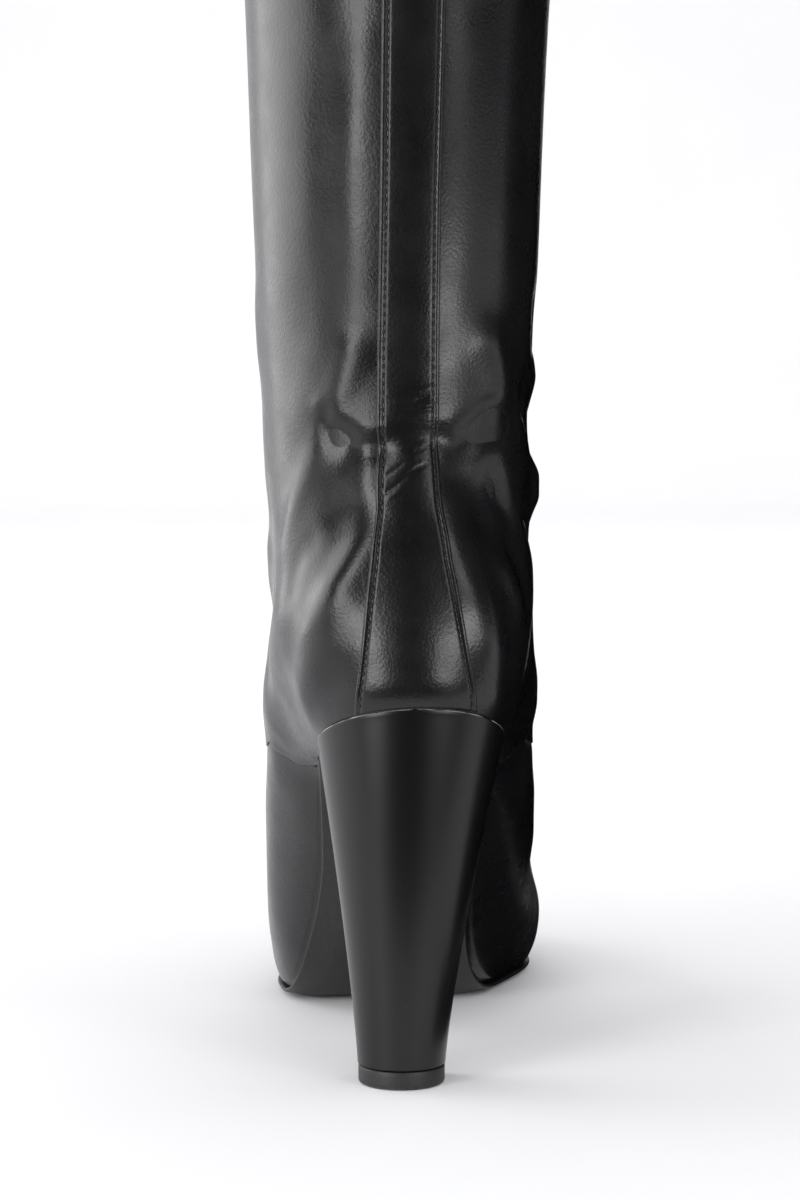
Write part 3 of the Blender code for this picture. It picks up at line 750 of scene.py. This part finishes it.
STITCH_PITCH = 2.3
STITCH_LONG = 1.75
THREAD_HALF = 0.24
THREAD_SUNK = 0.12


def stitch_bars(places, forwards, ups):
    """Bars along a row: each is a ring of six points carried along an arch of five, closed at ends.

    A bar's centre line runs along its forward direction and rises as 1 - s * s, s from -1 to 1;
    its radius shrinks to a third at the ends.
    """
    run = np.linspace(-1.0, 1.0, 5)
    ring = np.radians(np.arange(6) * 60.0)
    sides = np.cross(forwards, ups)
    radius = THREAD_HALF * (0.34 + 0.66 * np.sqrt(1 - run ** 4))
    rise = THREAD_HALF * (1 - run ** 2) - THREAD_SUNK
    places, forwards, sides, ups = (v[:, None, None] for v in (places, forwards, sides, ups))
    centre = places + forwards * (run * STITCH_LONG / 2)[:, None, None] \
        + ups * rise[:, None, None]
    around = sides * np.cos(ring)[:, None] + ups * np.sin(ring)[:, None]
    return centre + around * radius[:, None, None]


def add_stitches(name, rows, material, slot):
    """One object for rows of stitches; every row gives places, forward and up directions."""
    bars = np.concatenate([stitch_bars(*row) for row in rows])
    count, run, ring = bars.shape[:3]
    r, c = np.meshgrid(np.arange(run - 1), np.arange(ring), indexing="ij")
    quads = np.stack([r * ring + c, r * ring + (c + 1) % ring, (r + 1) * ring + (c + 1) % ring,
                      (r + 1) * ring + c], -1).reshape(-1, 4)
    base = np.arange(count)[:, None, None] * run * ring
    faces = (base + quads).reshape(-1, 4).tolist()
    ends = np.stack([np.arange(ring)[::-1], (run - 1) * ring + np.arange(ring)])
    faces += (base + ends).reshape(-1, ring).tolist()
    finish_piece(mesh_object(name, bars, faces), material, slot)


def thread(name, colour):
    """Black bonded nylon thread: waxed, so a little glossy, with its twist 0.4 mm apart."""
    made, tree, shader, place = new_material(name)
    twist = node(tree, "TexWave", {"Vector": place}, bands_direction="DIAGONAL", Scale=600.0)
    bump = node(tree, "Bump", {"Height": twist.outputs["Fac"]}, Strength=0.5, Distance=0.06 * MM)
    tree.links.new(bump.outputs["Normal"], shader.inputs["Normal"])
    shader.inputs["Base Color"].default_value = linear(colour)
    shader.inputs["Roughness"].default_value = 0.45
    shader.inputs["IOR"].default_value = 1.53
    return made


def spaced(points, normals, pitch):
    """Places, forward directions and ups at an even pitch along a path of points."""
    step = np.linalg.norm(np.diff(points, axis=0), axis=1)
    run = np.append(0.0, np.cumsum(step))
    at = np.arange(pitch / 2, run[-1] - pitch / 2, pitch)
    place = np.stack([np.interp(at, run, column) for column in points.T], axis=-1)
    ahead = np.stack([np.interp(at + 0.3, run, column) for column in points.T], axis=-1)
    up = np.stack([np.interp(at, run, column) for column in normals.T], axis=-1)
    forward = ahead - place
    forward = forward / np.linalg.norm(forward, axis=-1, keepdims=True)
    up = up - forward * (up * forward).sum(-1, keepdims=True)
    return place, forward, up / np.linalg.norm(up, axis=-1, keepdims=True)


def strip_stitch_row(side):
    """Path of one row: just inside the strip's edge, over the pressed line, up the leg."""
    height = np.arange(107.6, 664.0, 0.8)
    half = np.interp(height, STRIP[:, 0], STRIP[:, 2])
    share = side * (1 - STITCH_INSET / half)
    turn, *_ = strip_place(share, height)
    points = strip_grid(share, height, np.full_like(height, STRIP_PROUD))
    return spaced(points, skin_normal(np.mod(turn, 1.0), height), STITCH_PITCH)


black_thread = thread("black_thread", "#141415")
add_stitches("strip_stitches", [strip_stitch_row(1.0), strip_stitch_row(-1.0)], black_thread,
             "strip_leather")

# Topline stitches: one row of the same thread 3 mm under the folded top edge, which it closes.

TOPLINE_ROW = 3.0
TOPLINE_LIFT = 0.05


def ring_stitch_row(height):
    """Path right round the leg at a height, from one edge of the back strip to the other."""
    turn = np.linspace(0.030, 0.970, 900)
    heights = np.full_like(turn, height)
    return spaced(over_skin(turn, heights, TOPLINE_LIFT), skin_normal(turn, heights), STITCH_PITCH)


add_stitches("topline_stitches", [ring_stitch_row(LEG_TOP - TOPLINE_ROW)], black_thread,
             "upper_leather")

# ---------------------------------------------------------------------------------------------
# Sock lining. The same sheepskin on a thin foam, glued over the lasting board from seat to toe.

SOCK_LOW = 2.75
SOCK_HIGH = 4.7
SOCK_IN = 2.75
SOCK_ROUND = 0.8
SOCK_UNDER_ROUND = 0.3
EDGE_BEVEL = 9.0


def side_edges(inset, forward):
    """Outer and inner x of the feather line moved in by inset, at the given forward places."""
    edges = []
    for turns in (np.linspace(0.0, 0.5, 500), np.linspace(1.0, 0.5, 500)):
        outline = feather_plan(turns, np.full(500, inset))
        edges.append(np.interp(forward, outline[:, 1], outline[:, 0]))
    return edges


def slab(forward, left, right, low, high, bottom_round, top_round, lift=0.0):
    """Sections across a thin slab: flat faces joined by quarter circles at its four edges.

    left, right, low and high give each section's limits; the heights are measured square to the
    sole line, so they grow with its slope. The underside rises by lift towards both sides, eased
    over EDGE_BEVEL.
    """
    quarter = np.radians(np.linspace(0.0, 90.0, 6))
    flat = np.linspace(-1.0, 1.0, 26)[1:-1]
    slant = np.hypot(1.0, sole_slope(forward))[:, None]
    base = sole_line(forward)[:, None]
    wide = ((left - right) / 2)[:, None]
    middle = ((left + right) / 2)[:, None]
    r, t = np.minimum(bottom_round, wide * 0.9), np.minimum(top_round, wide * 0.9)
    cos, sin = np.cos(quarter), np.sin(quarter)
    low, high = (np.broadcast_to(v, forward.shape)[:, None] for v in (low, high))
    x = np.concatenate([wide - r + r * sin[None], wide - t + t * cos[None],
                        -flat * (wide - t), -wide + t - t * sin[None],
                        -wide + r - r * cos[None], flat * (wide - r)], axis=1)
    inside = wide - np.abs(flat[None]) * (wide - r)
    raised = low + lift * (1 - ease(0.0, 1.0, inside / EDGE_BEVEL))
    z = np.concatenate([low + lift + r * (1 - cos[None]), high - t + t * sin[None],
                        high + 0 * flat[None], high - t + t * cos[None],
                        low + lift + r - r * sin[None], raised], axis=1)
    return np.stack([middle + x, forward[:, None] + 0 * x, base + z * slant], axis=-1)


def end_spaced(low, high, count):
    """Places from low to high, closer towards both ends: half a turn of a cosine."""
    return low + (high - low) * (1 - np.cos(np.linspace(0.0, np.pi, count))) / 2


sock_places = end_spaced(SEAT_BACK + SOCK_IN + 0.05, TOE_TIP - SOCK_IN - 0.05, 130)
sock = add_piece("sock_lining", slab(sock_places, *side_edges(SOCK_IN, sock_places), SOCK_LOW,
                                     SOCK_HIGH, SOCK_UNDER_ROUND, SOCK_ROUND)[:, ::-1],
                 wrap_columns=True, cap_rows=True)
finish_piece(sock, sheepskin("sock_sheepskin", ("#1d1d1e", "#272728")), "insole_leather", "insole")

# ---------------------------------------------------------------------------------------------
# Outsole. Cut from 2.6 mm sole leather, dyed black and waxed: flat under the ball, thin and
# round-edged through the waist, glued on under the turned-in upper and up to the heel's breast.

SOLE_EDGE = 0.5
SOLE_TRIM = 0.15
SOLE_PRESSED = 0.05      # the glued face is pressed this far into the gap above it
SOLE_ROUND = 0.6
SOLE_TOP_ROUND = 0.35
EDGE_LIFT = 1.35
WAIST_THIN = 0.5
WAIST = (24.0, 40.0, 88.0, 116.0)    # thinned from the first two places to the last two


def sole_leather(name, colour):
    """Black sole bend: vegetable-tanned, rolled and waxed, smooth with scattered fine scuffs."""
    made, tree, shader, place = new_material(name)
    pores = node(tree, "TexNoise", {"Vector": place}, Scale=1800.0, Detail=3.0)
    scuff = node(tree, "Mapping", {"Vector": place}, Scale=(900.0, 60.0, 300.0))
    scuffs = node(tree, "TexNoise", {"Vector": scuff.outputs["Vector"]}, Scale=1.0, Detail=3.0)
    tone = node(tree, "ValToRGB", {"Fac": scuffs.outputs["Fac"]})
    tone.color_ramp.elements[0].position, tone.color_ramp.elements[1].position = 0.5, 0.8
    tone.color_ramp.elements[0].color, tone.color_ramp.elements[1].color = map(linear, colour)
    tree.links.new(tone.outputs["Color"], shader.inputs["Base Color"])
    bump = node(tree, "Bump", {"Height": pores.outputs["Fac"]}, Strength=0.3, Distance=0.05 * MM)
    tree.links.new(bump.outputs["Normal"], shader.inputs["Normal"])
    shader.inputs["Roughness"].default_value = 0.42
    shader.inputs["IOR"].default_value = 1.5
    return made


sole_places = end_spaced(BREAST + GAP, TOE_TIP + SOLE_EDGE - SOLE_TRIM, 150)
sole_low = -GAP - SOLE_THICK + WAIST_THIN * (ease(*WAIST[:2], sole_places)
                                             - ease(*WAIST[2:], sole_places))
sole_sides = side_edges(-SOLE_EDGE, sole_places)
outsole = add_piece("sole_leather_outsole",
                    slab(sole_places, *sole_sides, sole_low, -GAP + SOLE_PRESSED, SOLE_ROUND,
                         SOLE_TOP_ROUND, EDGE_LIFT)[:, ::-1],
                    wrap_columns=True, cap_rows=True)
finish_piece(outsole, sole_leather("black_sole_leather", ("#151515", "#242424")), "sole_leather",
             "outsole")

# ---------------------------------------------------------------------------------------------
# Heel. A tall block with a round back and a flat breast, wider at the seat than at the tip,
# turned from wood or moulded, sprayed with black satin lacquer and screwed on from inside.

SEAT_HALF = 25.8
SEAT_RADIUS = 26.0
HEEL_PROUD = 0.4
HEEL_CURVE = 1.22
TIP_HALF = 12.1
TIP_FRONT = 10.4
TIP_DEPTH = 20.8
TIP_THICK = 5.0
BREAST_SHARE = 0.95
HEEL_CORNER = 0.075      # corner radius as a share of the half breadth
RIM_ROUND = 0.45
TIP_RIM = 0.3
RIM_SHEEN_RINGS = slice(4, 8)   # the rings of the seat's rim, where a highlight is painted in pale patches


def heel_plan(half, rear, back, breast, middle, inset=0.0):
    """Plan of the heel: a half ellipse behind, sides drawn in a little, round corners, flat front.

    inset moves the whole outline inwards. The points run from the inner corner round the back to
    the outer one and across the breast.
    """
    half, rear = half - inset, rear - inset
    back, breast = back + inset, breast - inset
    angle = np.radians(np.linspace(-90.0, 90.0, 73))
    arc = np.column_stack([half * np.sin(angle), back + rear * (1 - np.cos(angle))])
    r = HEEL_CORNER * half
    front = BREAST_SHARE * half
    turn = np.radians(np.linspace(0.0, 90.0, 7))
    outer = np.column_stack([front - r + r * np.cos(turn), breast - r + r * np.sin(turn)])
    inner = outer[::-1] * (-1, 1)
    side = np.linspace(0.0, 1.0, 14)[1:-1, None]
    right = arc[-1] + (outer[0] - arc[-1]) * side
    left = inner[-1] + (arc[0] - inner[-1]) * side
    across = outer[-1] + (inner[0] - outer[-1]) * np.linspace(0.0, 1.0, 16)[1:-1, None]
    return np.vstack([arc, right, outer, across, inner, left]) + (middle, 0.0)


def heel_wall(level, inset):
    """Outline of the heel at a level from 0 at the tip to 1 at the seat, moved in by inset.

    The plan goes from the tip's to the seat's with level ** HEEL_CURVE, so it narrows quicker at
    the top, and the height goes evenly from the tip to the sole line.
    """
    seat = heel_plan(SEAT_HALF, SEAT_RADIUS, SEAT_BACK - HEEL_PROUD, BREAST, AXIS, inset)
    tip = heel_plan(TIP_HALF, TIP_HALF, TIP_FRONT - TIP_DEPTH, TIP_FRONT, 0.0, inset)
    plan = tip + (seat - tip) * level ** HEEL_CURVE
    top = sole_line(seat[:, 1]) - GAP
    return np.column_stack([plan, TIP_THICK + GAP + (top - TIP_THICK - GAP) * level])


def heel_rings():
    """Rings of the heel: seat, round rim, wall down to the tip, round rim and tip."""
    swing = np.radians(np.linspace(90.0, 0.0, 6))
    rings = [heel_wall(1.0, inset) for inset in (12.0, 6.0, 2.0)]
    for s in swing:
        ring = heel_wall(1.0, RIM_ROUND * (1 - np.cos(s)))
        rings.append(ring - (0, 0, RIM_ROUND * (1 - np.sin(s))))
    rings += [heel_wall(level, 0.0) for level in np.linspace(0.985, 0.008, 70)]
    for s in swing[::-1]:
        ring = heel_wall(0.0, TIP_RIM * (1 - np.cos(s)))
        rings.append(ring + (0, 0, TIP_RIM * (1 - np.sin(s))))
    rings += [heel_wall(0.0, inset) for inset in (2.0, 6.0)]
    return np.array(rings)


def lacquer(name, colour):
    """Black satin lacquer over a sanded block: even, with fine rings left by the sanding.

    The rings are under a millimetre apart; a few pale specks are chips and dust in the coat, and
    along the seat's rim, where the attribute "worn" is 1, pale patches are a painted highlight of
    the rim catching light.
    """
    made, tree, shader, place = new_material(name)
    flat = node(tree, "Mapping", {"Vector": place}, Scale=(40.0, 40.0, 1400.0))
    rings = node(tree, "TexNoise", {"Vector": flat.outputs["Vector"]}, Scale=1.0, Detail=4.0)
    bump = node(tree, "Bump", {"Height": rings.outputs["Fac"]}, Strength=0.25, Distance=0.02 * MM)
    tree.links.new(bump.outputs["Normal"], shader.inputs["Normal"])
    cells = node(tree, "TexVoronoi", {"Vector": place}, Scale=110.0)
    chance = node(tree, "SeparateColor", {"Color": cells.outputs["Color"]})
    near = node(tree, "Math", {0: cells.outputs["Distance"]}, operation="LESS_THAN")
    near.inputs[1].default_value = 0.022
    rare = node(tree, "Math", {0: chance.outputs["Red"]}, operation="GREATER_THAN")
    rare.inputs[1].default_value = 0.9
    speck = node(tree, "Math", {0: near.outputs["Value"], 1: rare.outputs["Value"]},
                 operation="MULTIPLY")
    # painted highlight: along the seat's rim the pale colour is laid in patches where the rim
    # catches light
    worn = node(tree, "Attribute", attribute_name="worn", attribute_type="GEOMETRY")
    patchy = node(tree, "TexNoise", {"Vector": place}, Scale=260.0, Detail=3.0)
    sheen_patches = node(tree, "MapRange", {"Value": patchy.outputs["Fac"]}, **{
        "From Min": 0.38, "From Max": 0.56})
    rim = node(tree, "Math", {0: worn.outputs["Fac"], 1: sheen_patches.outputs["Result"]},
               operation="MULTIPLY")
    specks_and_sheen = node(tree, "Math", {0: speck.outputs["Value"], 1: rim.outputs["Value"]},
                operation="MAXIMUM")
    tone = node(tree, "ValToRGB", {"Fac": specks_and_sheen.outputs["Value"]})
    tone.color_ramp.elements[0].color, tone.color_ramp.elements[1].color = map(linear, colour)
    tree.links.new(tone.outputs["Color"], shader.inputs["Base Color"])
    shader.inputs["Roughness"].default_value = 0.30
    shader.inputs["IOR"].default_value = 1.45
    return made


heel_points = heel_rings()[:, ::-1]
# painted highlight: the seat's rim rings are marked for the lacquer's pale patches
heel_rim_sheen = np.zeros(heel_points.shape[:2])
heel_rim_sheen[RIM_SHEEN_RINGS] = 1.0
heel = add_piece("lacquered_heel", heel_points, wrap_columns=True, cap_rows=True, worn=heel_rim_sheen)
# the pale second colour paints the specks and the rim's painted highlight
finish_piece(heel, lacquer("black_satin_lacquer", ("#0b0b0c", "#a2a29e")), "heel_lacquer", "heel")

# ---------------------------------------------------------------------------------------------
# Top piece. A 5 mm plate of hard black rubber nailed under the heel; its lower edge is scuffed.

TIP_SHRINK = 0.985


def tip_rings():
    """Rings of the plate: the heel's tip outline, a little smaller, with rounded rims.

    Each comes from a height and how far the outline is moved in there.
    """
    rings = []
    for z, inset in ((TIP_THICK, 6.0), (TIP_THICK, 2.0), (TIP_THICK, 0.3), (TIP_THICK - 0.1, 0.08),
                     (TIP_THICK - 0.35, 0.0), (3.4, 0.0), (2.0, 0.0), (1.2, 0.0), (0.6, 0.06),
                     (0.25, 0.2), (0.05, 0.5), (0.0, 0.9), (0.0, 3.0), (0.0, 6.0)):
        plan = heel_plan(TIP_HALF * TIP_SHRINK, TIP_HALF * TIP_SHRINK,
                         (TIP_FRONT - TIP_DEPTH) * TIP_SHRINK, TIP_FRONT * TIP_SHRINK, 0.0, inset)
        rings.append(np.column_stack([plan, np.full(len(plan), z)]))
    return np.array(rings)


def hard_rubber(name, colour):
    """Hard rubber heel tip: matt, scuffed grey and rough along the edge that meets the ground."""
    made, tree, shader, place = new_material(name)
    height = node(tree, "SeparateXYZ", {"Vector": place}).outputs["Z"]
    low = node(tree, "MapRange", {"Value": height}, **{
        "From Min": 0.0, "From Max": 0.0022, "To Min": 0.62, "To Max": 0.0})
    rough = node(tree, "TexNoise", {"Vector": place}, Scale=1400.0, Detail=4.0)
    worn = node(tree, "Math", {0: low.outputs["Result"], 1: rough.outputs["Fac"]},
                operation="MULTIPLY")
    tone = node(tree, "ValToRGB", {"Fac": worn.outputs["Value"]})
    tone.color_ramp.elements[0].position, tone.color_ramp.elements[1].position = 0.2, 0.42
    tone.color_ramp.elements[0].color, tone.color_ramp.elements[1].color = map(linear, colour)
    tree.links.new(tone.outputs["Color"], shader.inputs["Base Color"])
    bump = node(tree, "Bump", {"Height": rough.outputs["Fac"]}, Strength=0.5, Distance=0.12 * MM)
    tree.links.new(bump.outputs["Normal"], shader.inputs["Normal"])
    shader.inputs["Roughness"].default_value = 0.5
    shader.inputs["IOR"].default_value = 1.52
    return made


tip = add_piece("rubber_top_piece", tip_rings()[:, ::-1], wrap_columns=True, cap_rows=True)
finish_piece(tip, hard_rubber("black_hard_rubber", ("#171717", "#4a4a48")), "tip_rubber",
             "top_piece")

# ---------------------------------------------------------------------------------------------
# Studio. A white paper sweep that rises far behind the toe, soft lights on both sides and over the
# paper, a tent of light that only matt paper takes, black cloths that only reflections see, and
# the camera behind the heel.

PAPER_FRONT = 30.0
PAPER_BACK = 3.9
PAPER_ROUND = 0.8
PAPER_TOP = 2.6
PAPER_HALF = 30.0
FLOOR_DROP = 0.0001


def paper(name, colour):
    """Matt white background paper with faint unevenness."""
    made, tree, shader, place = new_material(name)
    cloud = node(tree, "TexNoise", {"Vector": place}, Scale=7.0, Detail=3.0)
    tone = node(tree, "ValToRGB", {"Fac": cloud.outputs["Fac"]})
    tone.color_ramp.elements[0].color, tone.color_ramp.elements[1].color = map(linear, colour)
    tree.links.new(tone.outputs["Color"], shader.inputs["Base Color"])
    shader.inputs["Roughness"].default_value = 0.8
    return made


def sheet_rows(forward, height, outer, inner):
    """Sheet from a profile of (forward, height) drawn from outer to inner x, all in metres."""
    sides = np.array((outer, inner))
    return np.stack(np.broadcast_arrays(sides[None, :], np.asarray(forward)[:, None],
                                        np.asarray(height)[:, None]), axis=-1) / MM


rise = np.radians(np.linspace(0.0, 90.0, 16))
floor = add_piece("floor", sheet_rows(
    np.concatenate([[-PAPER_FRONT], PAPER_BACK - PAPER_ROUND + PAPER_ROUND * np.sin(rise),
                    [PAPER_BACK]]),
    np.concatenate([[0.0], PAPER_ROUND * (1 - np.cos(rise)), [PAPER_TOP]]) - FLOOR_DROP,
    PAPER_HALF, -PAPER_HALF))
floor.data.materials.append(paper("white_paper", ("#e6e6e8", "#eaeaec")))


def softbox(name, radiance, size, place, tilt=90.0, on_paper=True):
    """Soft light in metres, turned to the boot's axis and tilted up from facing straight down.

    Its power is the radiance times pi times its area. One that isn't on_paper lights gloss only.
    """
    light = bpy.data.lights.new(name, "AREA")
    light.shape = "RECTANGLE"
    light.energy = radiance * np.pi * size[0] * size[1]
    light.size, light.size_y = size
    made = bpy.data.objects.new(name, light)
    made.location = place
    made.rotation_euler = (np.radians(tilt), 0.0, np.arctan2(-place[1], -place[0]) - np.pi / 2)
    made.visible_camera = False
    made.visible_diffuse = on_paper
    bpy.context.scene.collection.objects.link(made)


def around(turn, distance, height):
    """Place at a turn in degrees from straight behind the heel towards the outer side (metres)."""
    angle = np.radians(turn)
    return (np.sin(angle) * distance, np.cos(angle) * distance, height)


FAR = 1.6
NEAR = 0.45
softbox("window", 2.6, (1.75, 0.75), around(116.0, FAR, 0.385))
softbox("upper_window", 3.6, (0.9, 0.6), around(116.0, FAR, 1.06))
softbox("outer_strip_light", 6.4, (0.56, 1.1), around(48.5, FAR, 0.56))
softbox("inner_strip_light", 2.9, (0.52, 0.95), around(-38.0, FAR, 0.85))
softbox("low_inner_light", 7.5, (0.2, 0.1), around(-35.0, NEAR, 0.075), on_paper=False)
softbox("low_outer_light", 8.0, (0.18, 0.08), around(47.0, NEAR, 0.05), on_paper=False)
softbox("paper_light", 0.9, (3.0, 2.0), (0.0, -1.9, 2.1), tilt=0.0)
softbox("backdrop_light", 0.9, (3.0, 1.0), (0.0, -2.3, 2.2), tilt=-55.0)

velvet = bpy.data.materials.new("black_cotton_velvet")
velvet.use_nodes = True
velvet.node_tree.nodes["Principled BSDF"].inputs["Base Color"].default_value = linear("#0a0a0a")
velvet.node_tree.nodes["Principled BSDF"].inputs["Roughness"].default_value = 0.9


def black_cloth(name, points):
    """Black velvet that only reflections see, hung to keep the leather dark."""
    made = add_piece(name, points)
    made.data.materials.append(velvet)
    made.visible_camera = made.visible_diffuse = made.visible_shadow = False


# This one's upper edge runs the other way round, which makes two triangles that share the edge
# nearest the heel and leave the side towards the toe open halfway up.
CLOTH_SIDE = -107.0
black_cloth("cloth_inner_side", np.array((
    ((CLOTH_SIDE, 5.0, 2.0), (CLOTH_SIDE, 330.0, 2.0)),
    ((CLOTH_SIDE, 330.0, 760.0), (CLOTH_SIDE, 5.0, 760.0)))))
black_cloth("cloth_by_inner_side", sheet_rows((-0.02, 0.33), (0.001, 0.001), -0.04,
                                               CLOTH_SIDE * MM))
black_cloth("cloth_under_camera", sheet_rows((-3.5, -0.12), (0.004, 0.004), 0.6, -0.5))
black_cloth("cloth_behind_camera", sheet_rows((-2.6, -2.6), (0.004, 2.4), 1.5, -1.5))

# The room is dark to the gloss of the leather, a pale tent to the matt paper, and a grey wall, the
# far paper's own tone, to the camera.
world = bpy.data.worlds.new("bright_studio")
world.use_nodes = True
tree = world.node_tree
room = tree.nodes["Background"]
room.inputs["Color"].default_value = linear("#f4f5f8")
room.inputs["Strength"].default_value = 0.07
tent = node(tree, "Background", Strength=1.0, Color=linear("#fbfbfc"))
wall = node(tree, "Background", Strength=1.0, Color=linear("#dbdbde"))
ray = node(tree, "LightPath")
matt = node(tree, "MixShader", {0: ray.outputs["Is Diffuse Ray"], 1: room.outputs[0],
                                2: tent.outputs[0]})
seen = node(tree, "MixShader", {0: ray.outputs["Is Camera Ray"], 1: matt.outputs[0],
                                2: wall.outputs[0]})
tree.links.new(seen.outputs[0], tree.nodes["World Output"].inputs["Surface"])
bpy.context.scene.world = world
bpy.context.scene.view_settings.view_transform = "Standard"

CAMERA_PLACE = (0.0708, 0.7949, 0.196)
CAMERA_TURN = 5.05       # degrees from straight ahead, towards the inner side
CAMERA_TILT = 4.53       # degrees down
FOCAL = 88.56
camera = bpy.data.cameras.new("camera")
camera.lens = FOCAL
camera.sensor_fit = "VERTICAL"
camera.sensor_height = 36.0
camera.clip_start = 0.05
camera_object = bpy.data.objects.new("camera", camera)
camera_object.location = CAMERA_PLACE
camera_object.rotation_euler = np.radians((90.0 - CAMERA_TILT, 0.0, 180.0 - CAMERA_TURN))
bpy.context.scene.collection.objects.link(camera_object)
bpy.context.scene.camera = camera_object
